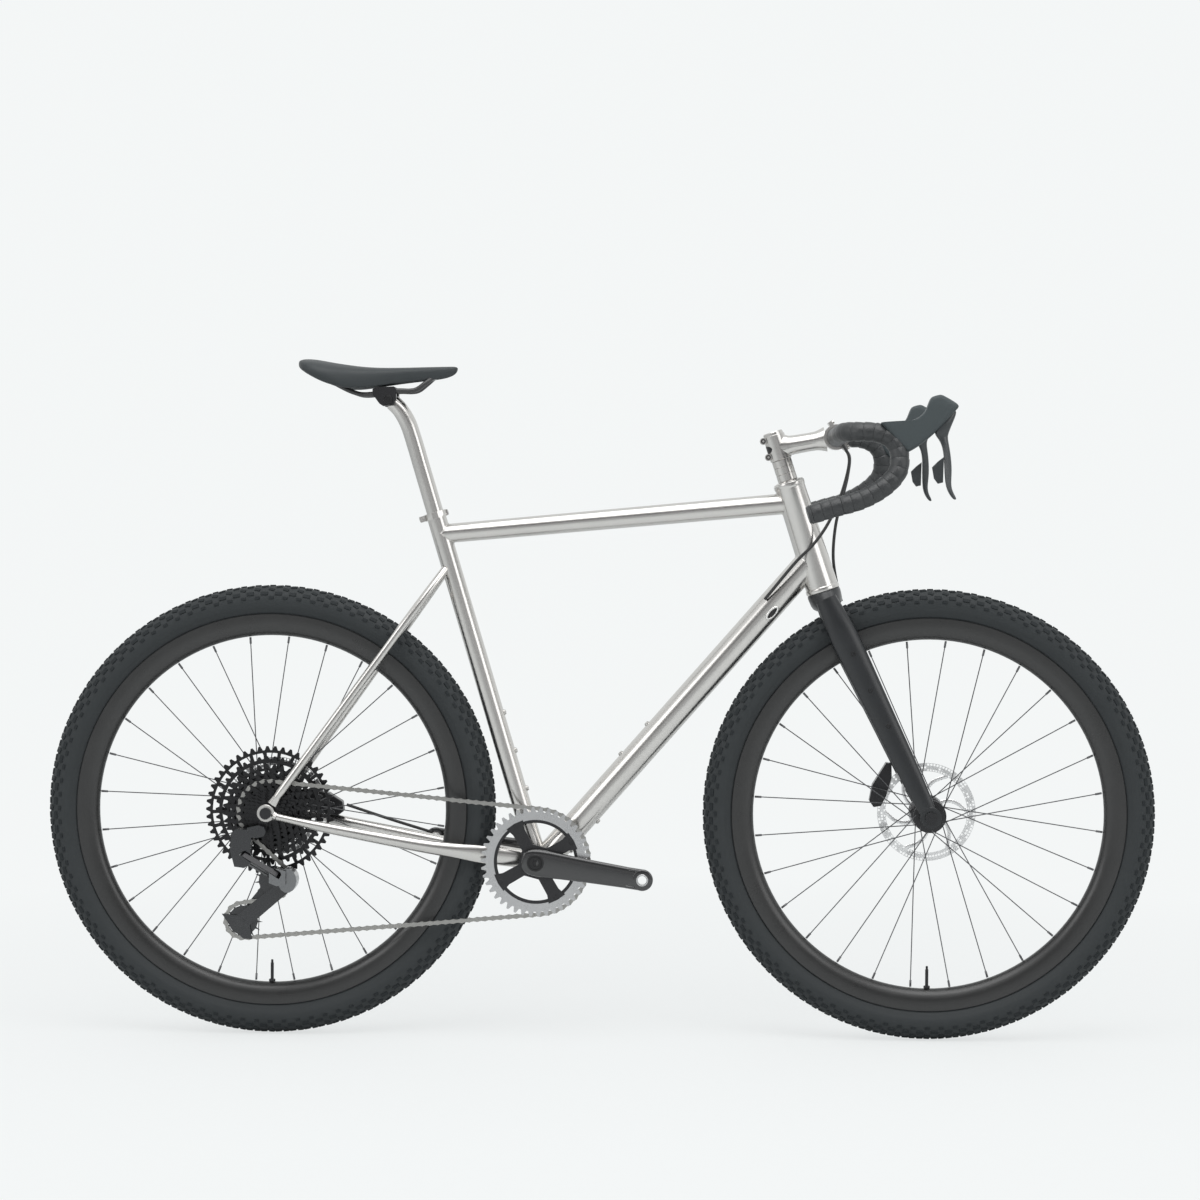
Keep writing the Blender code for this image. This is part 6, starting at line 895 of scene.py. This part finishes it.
def toothed_ring(bm, teeth, centre, bands, windows, thick, tip=2.6, root=-4.4, period=8):
    """A sprocket's ring: rows of faces from the bore outwards, a row of windows, and teeth on the rim."""
    first = len(bm.verts)
    pitch_r = PITCH / (2 * sin(pi / teeth))
    count = teeth * 4
    now = pitch_r + bands[0]
    made = bmesh.ops.create_circle(bm, cap_ends=False, radius=now * 0.001, segments=count)["verts"]
    edges = list({e for v in made for e in v.link_edges})
    rows = []
    for radius in [pitch_r + b for b in bands[1:]] + [pitch_r + root, pitch_r + tip]:
        verts, edges, faces = extruded(bm, edges)
        bmesh.ops.scale(bm, vec=(radius / now,) * 3, verts=verts)
        rows.append(sorted(faces, key=lambda f: atan2(*f.calc_center_median().xy)))
        now = radius
    tips = sorted(verts, key=lambda v: atan2(*v.co.xy))
    for k, v in enumerate(tips):
        if k % 4 in (0, 3):
            v.co *= (pitch_r + root + 0.4) / (pitch_r + tip)
    if windows is not None:
        gone = [f for k, f in enumerate(rows[windows]) if k % period > 1]
        bmesh.ops.delete(bm, geom=gone, context="FACES")
    mine = [f for row in rows for f in row if f.is_valid]
    bmesh.ops.solidify(bm, geom=mine, thickness=thick * 0.001)
    bm.verts.ensure_lookup_table()
    fresh = bm.verts[first:]
    bmesh.ops.translate(bm, vec=(0, 0, thick * 0.0005), verts=fresh)
    bmesh.ops.rotate(bm, cent=(0, 0, 0), matrix=Matrix.Rotation(radians(90), 3, "X"), verts=fresh)
    bmesh.ops.translate(bm, vec=Vector(centre) * 0.001, verts=fresh)


bm = bmesh.new()
for k, teeth in enumerate(COGS):
    at = REAR_AXLE + Vector((0, FIRST_COG + COG_STEP * k, 0))
    if k >= 10:
        toothed_ring(bm, teeth, at, (-21, -18.5, -8.4), 1, COG_THICK)
    elif k >= 5:
        toothed_ring(bm, teeth, at, (-15.6, -12.8, -7.4), 1, COG_THICK, period=8 if k > 5 else 6)
    else:
        toothed_ring(bm, teeth, at, (-8.5, -5.6), None, COG_THICK)
for k, outer in ((10, 66), (11, 82)):
    y = FIRST_COG + COG_STEP * k
    for arm in range(7):
        a = 2 * pi * arm / 7 + k * 0.2
        path = [REAR_AXLE + Vector((cos(a + t) * r, y, sin(a + t) * r)) for r, t in
                ((20, 0.5), (40, 0.32), (60, 0.14), (outer, 0))]
        swept(bm, curve(path, 10), [(0.8, 3.4)] * 10, 8, hint=(0, 1, 0))
cone = [(17.5, -24.6), (19.6, -24.6), (19.6, -30), (40, -33.2), (57.5, -34.0), (57.5, -35.4), (48.0, -37.0),
        (42, -40.6), (36, -44.3), (29, -47.9), (24, -51.6), (20.5, -55.2), (17.5, -58.8), (15, -62.4),
        (13, -66.2), (10.4, -66.6), (10.4, -58)]
lathe(bm, cone, REAR_AXLE, (0, 1, 0), 56)
piece("cassette_cut", bm, cog_black, "cassette", ["cassette"], split=30)

# Chainring
# A ring turned and milled from alloy: a broad bright band with its teeth outside and a narrow black rim
# inside, bolted to a black four-armed spider.
RING_TEETH, RING_Y = 42, -45.5
ring_silver = finish("ring_silver", (0.46, 0.46, 0.465), (0.60, 0.60, 0.605), (0.22, 0.36), metal=1.0)
bm = bmesh.new()
toothed_ring(bm, RING_TEETH, SHELL + Vector((0, RING_Y, 0)), (-17.6, -8.0, -6.4), None, 2.0, tip=3.2,
             root=-5.2)
piece("chainring_teeth", bm, ring_silver, "crank", ["chainring"], split=30)
bm = bmesh.new()
lathe(bm, [(62.4, -44.4), (62.4, -47.0), (63.2, -47.8), (67.4, -47.8), (68.2, -47.2), (68.2, -44.4),
           (62.4, -44.4)], SHELL, (0, 1, 0), 120)
piece("chainring_web", bm, hub_black, "crank", split=30)
bm = bmesh.new()
for k in range(4):
    a = radians(30 + 90 * k)
    at = SHELL + Vector((cos(a) * 65.2, -47.2, sin(a) * 65.2))
    lathe(bm, [(4.6, 0), (4.6, 2.4), (4.0, 2.9), (2.4, 2.9), (2.2, 1.4), (0.01, 1.4)], at, (0, -1, 0), 20)
piece("chainring_bolts", bm, black_bolt, "crank", split=30)

# Crank arms
# Hollow carbon arms in gloss black, slim and rounded, each with a metal eye for the pedal at its end and a
# round bolt cap over the spindle.
crank_carbon = finish("crank_carbon", (0.010, 0.010, 0.011), (0.020, 0.020, 0.021), (0.16, 0.24), coat=1.0,
                      coat_rough=0.05, scale=30)
CRANK_LENGTH, ARM_HALF = 172.5, 6.25
eye_metal = finish("eye_metal", (0.50, 0.50, 0.50), (0.62, 0.62, 0.62), (0.2, 0.32), metal=1.0)
SECTION = [(1, 0.42), (0.88, 0.86), (0.55, 1), (-0.55, 1), (-0.88, 0.86), (-1, 0.42), (-1, -0.42),
           (-0.88, -0.86), (-0.55, -1), (0.55, -1), (0.88, -0.86), (1, -0.42)]
for side, name, angle in ((-1, "right", radians(-8.4)), (1, "left", radians(171.6))):
    d = Vector((cos(angle), 0, sin(angle)))
    n = Vector((-d.z, 0, d.x))
    rings = []
    for t, half, share in ((-22.5, 9.5, 0), (-18, 18, 0), (0, 23, 0), (45, 20.3, 0.12), (95, 18.5, 0.45),
                           (150, 17.2, 0.9), (158, 16.6, 1), (163.5, 13.6, 1)):
        y = 64.5 + 9.5 * share - ARM_HALF
        rings.append([SHELL + d * t + n * a * half + Vector((0, side * (y + b * ARM_HALF), 0))
                      for a, b in SECTION])
    bm = bmesh.new()
    ringed(bm, rings)
    arm = piece("crank_arm_shaped_" + name, bm, crank_carbon, "crank", ["crank_arm_" + name])
    rounded(arm, 2)
    bm = bmesh.new()
    out = Vector((0, side, 0))
    pedal = SHELL + d * CRANK_LENGTH
    lathe(bm, [(9.4, 61.6), (15.2, 61.6), (16.6, 62.4), (17.2, 64.4), (17.2, 71.2), (16.6, 73.2), (15.2, 74),
               (9.4, 74)], pedal, out, 48)
    for way in (-1, 1):
        edge = SHELL + n * (way * 13.9) + out * 67.8
        swept(bm, [edge + d * 148, edge + d * CRANK_LENGTH], [(3.3, 5.9)] * 2, 20, hint=n)
    piece("crank_end_" + name, bm, crank_carbon, "crank", split=50)
    bm = bmesh.new()
    lathe(bm, [(7.2, 61.0), (9.6, 61.0), (9.6, 73.9), (9.0, 74.4), (7.6, 74.4), (7.2, 73.9), (7.2, 61.0)],
          pedal, out, 28)
    piece("pedal_eye_" + name, bm, eye_metal, "crank", split=35)
    bm = bmesh.new()
    lathe(bm, [(12, 20), (12, 58)], SHELL, out, 32)
    lathe(bm, [(13.6, 62.5), (13.6, 65.0), (13.0, 65.6), (10.6, 65.6), (10.2, 65.0), (9.4, 65.0), (9.0, 66.2),
               (5.4, 66.2), (5.0, 64.6), (0.01, 64.6)], SHELL, out, 36)
    piece("crank_cap_" + name, bm, black_bolt, "crank", split=35)

# Chain
# 124 half links of grey plated steel: waisted outer plates over waisted inner ones, on pins, laid from the
# cassette's seventh cog round both pulleys and the chainring.
chain_grey = finish("chain_grey", (0.30, 0.295, 0.28), (0.44, 0.435, 0.42), (0.25, 0.40), metal=1.0,
                    scale=160)
GUIDE, TENSION = Vector((-521.3, 0, 251.7)), Vector((-570.2, 0, 187.0))
LINKS, PULLEY_TEETH, CHAIN_COG = 124, 14, 6
chain_y = FIRST_COG + COG_STEP * CHAIN_COG
STOPS = [(REAR_AXLE, COGS[CHAIN_COG], 1, chain_y), (GUIDE, PULLEY_TEETH, -1, chain_y),
         (TENSION, PULLEY_TEETH, 1, chain_y), (SHELL, RING_TEETH, 1, RING_Y)]


def touching(first, second):
    """Angles on two sprockets between which a straight run leaves the first for the second."""
    (c1, n1, w1, _), (c2, n2, w2, _) = first, second
    d = c2 - c1
    r1, r2 = (PITCH / (2 * sin(pi / n)) for n in (n1, n2))
    heading = atan2(d.z, d.x) + asin((w1 * r1 - w2 * r2) / d.length)
    return heading - w1 * pi / 2, heading - w2 * pi / 2


course = []
touches = [touching(a, b) for a, b in zip(STOPS, STOPS[1:] + STOPS[:1])]
for i, (c, n, way, y) in enumerate(STOPS):
    r = PITCH / (2 * sin(pi / n))
    arrive, leave = touches[i - 1][1], touches[i][0]
    sweep = ((leave - arrive) * way) % (2 * pi)
    steps = max(round(sweep * 40), 2)
    for k in range(steps + 1):
        t = arrive + way * sweep * k / steps
        course.append(Vector((c.x + cos(t) * r, y, c.z + sin(t) * r)))
course.append(course[0])
reach = [0.0]
for a, b in zip(course, course[1:]):
    reach.append(reach[-1] + (b - a).length)
pins, at = [], 0
for k in range(LINKS):
    want = reach[-1] * k / LINKS
    while reach[at + 1] < want:
        at += 1
    pins.append(course[at].lerp(course[at + 1], (want - reach[at]) / (reach[at + 1] - reach[at])))


def link_mesh(half_height, waist, inner, outer, pin):
    """Two waisted plates and, on the outer ones, two pins, with the pitch along X and the pins along Y."""
    bm = bmesh.new()
    for side in (-1, 1):
        outline = []
        for end in (1, -1):
            for k in range(9):
                t = radians(-120 + 30 * k)
                outline.append((end * (PITCH / 2 + cos(t) * half_height), end * sin(t) * half_height))
            outline.append((0, end * waist))
        verts = [bm.verts.new((x * 0.001, side * inner * 0.001, z * 0.001)) for x, z in outline]
        rim = [bm.edges.new(e) for e in zip(verts, verts[1:] + verts[:1])]
        face = bmesh.ops.contextual_create(bm, geom=rim)
        out = bmesh.ops.extrude_face_region(bm, geom=face["faces"])["geom"]
        bmesh.ops.translate(bm, vec=(0, side * (outer - inner) * 0.001, 0),
                            verts=[g for g in out if isinstance(g, bmesh.types.BMVert)])
    if pin:
        for x in (-PITCH / 2, PITCH / 2):
            swept(bm, [(x, -outer - 0.15, 0), (x, outer + 0.15, 0)], pin, 10, hint=(1, 0, 0))
    mesh = bpy.data.meshes.new("link")
    bm.to_mesh(mesh)
    bm.free()
    return mesh


outer_link = link_mesh(3.9, 2.5, 2.0, 2.65, 1.7)
inner_link = link_mesh(3.7, 2.4, 1.2, 1.9, 0)
bm = bmesh.new()
for k, (a, b) in enumerate(zip(pins, pins[1:] + pins[:1])):
    first = len(bm.verts)
    bm.from_mesh(inner_link if k % 2 else outer_link)
    bm.verts.ensure_lookup_table()
    x = (b - a).normalized()
    y = (Vector((0, 1, 0)) - x * x.y).normalized()
    m = Matrix((x, y, x.cross(y))).transposed().to_4x4()
    m.translation = (a + b) * 0.0005
    bmesh.ops.transform(bm, matrix=m, verts=bm.verts[first:])
for mesh in (outer_link, inner_link):
    bpy.data.meshes.remove(mesh)
piece("chain_links", bm, chain_grey, "frame", ["chain"], split=30)

# Solids that keep their shape
# The derailleur's parts, calipers, axles, clamp, spider and bearings, whose solids are right as they are:
# most have their edges rounded, and each has its own finish.
knuckle_grey = finish("knuckle_grey", (0.16, 0.165, 0.17), (0.24, 0.245, 0.25), (0.15, 0.26), metal=0.9,
                      coat=0.3)
gloss_plastic = finish("gloss_plastic", (0.014, 0.015, 0.017), (0.022, 0.023, 0.026), (0.2, 0.3), coat=0.4)
caliper_black = finish("caliper_black", (0.015, 0.015, 0.016), (0.028, 0.028, 0.03), (0.24, 0.36), metal=0.4)
for node, mat, body, slot, width in (
    ("derailleur_p_knuckle", knuckle_grey, "p_knuckle", "silver_alloy", 2.2),
    ("derailleur_b_knuckle", gloss_plastic, "frame", "composite", 2.0),
    ("derailleur_outer_link", hub_black, "outer_link", "silver_alloy", 1.0),
    ("derailleur_inner_link", hub_black, "inner_link", "silver_alloy", 1.0),
    ("derailleur_cage", gloss_plastic, "cage", "composite", 0.6),
    ("derailleur_guide_pulley", gloss_plastic, "guide_pulley", "composite", 0.3),
    ("derailleur_tension_pulley", gloss_plastic, "tension_pulley", "composite", 0.3),
    ("derailleur_hanger", hub_black, "frame", "black_metal", 0.6),
    ("front_caliper", caliper_black, "steering", "black_metal", 1.6),
    ("rear_caliper", caliper_black, "frame", "black_metal", 1.6),
    ("front_axle", hub_black, "steering", "black_metal", 0.5),
    ("rear_axle", hub_black, "frame", "black_metal", 0.5),
    ("saddle_clamp", hub_black, "saddle", "black_metal", 1.2),
    ("spider", hub_black, "crank", "black_metal", 0.5),
):
    softened(node, mat, body, width)
for name in ("bottom_bracket", "headset_upper_bearing", "headset_lower_bearing"):
    refinished(name, hub_black)
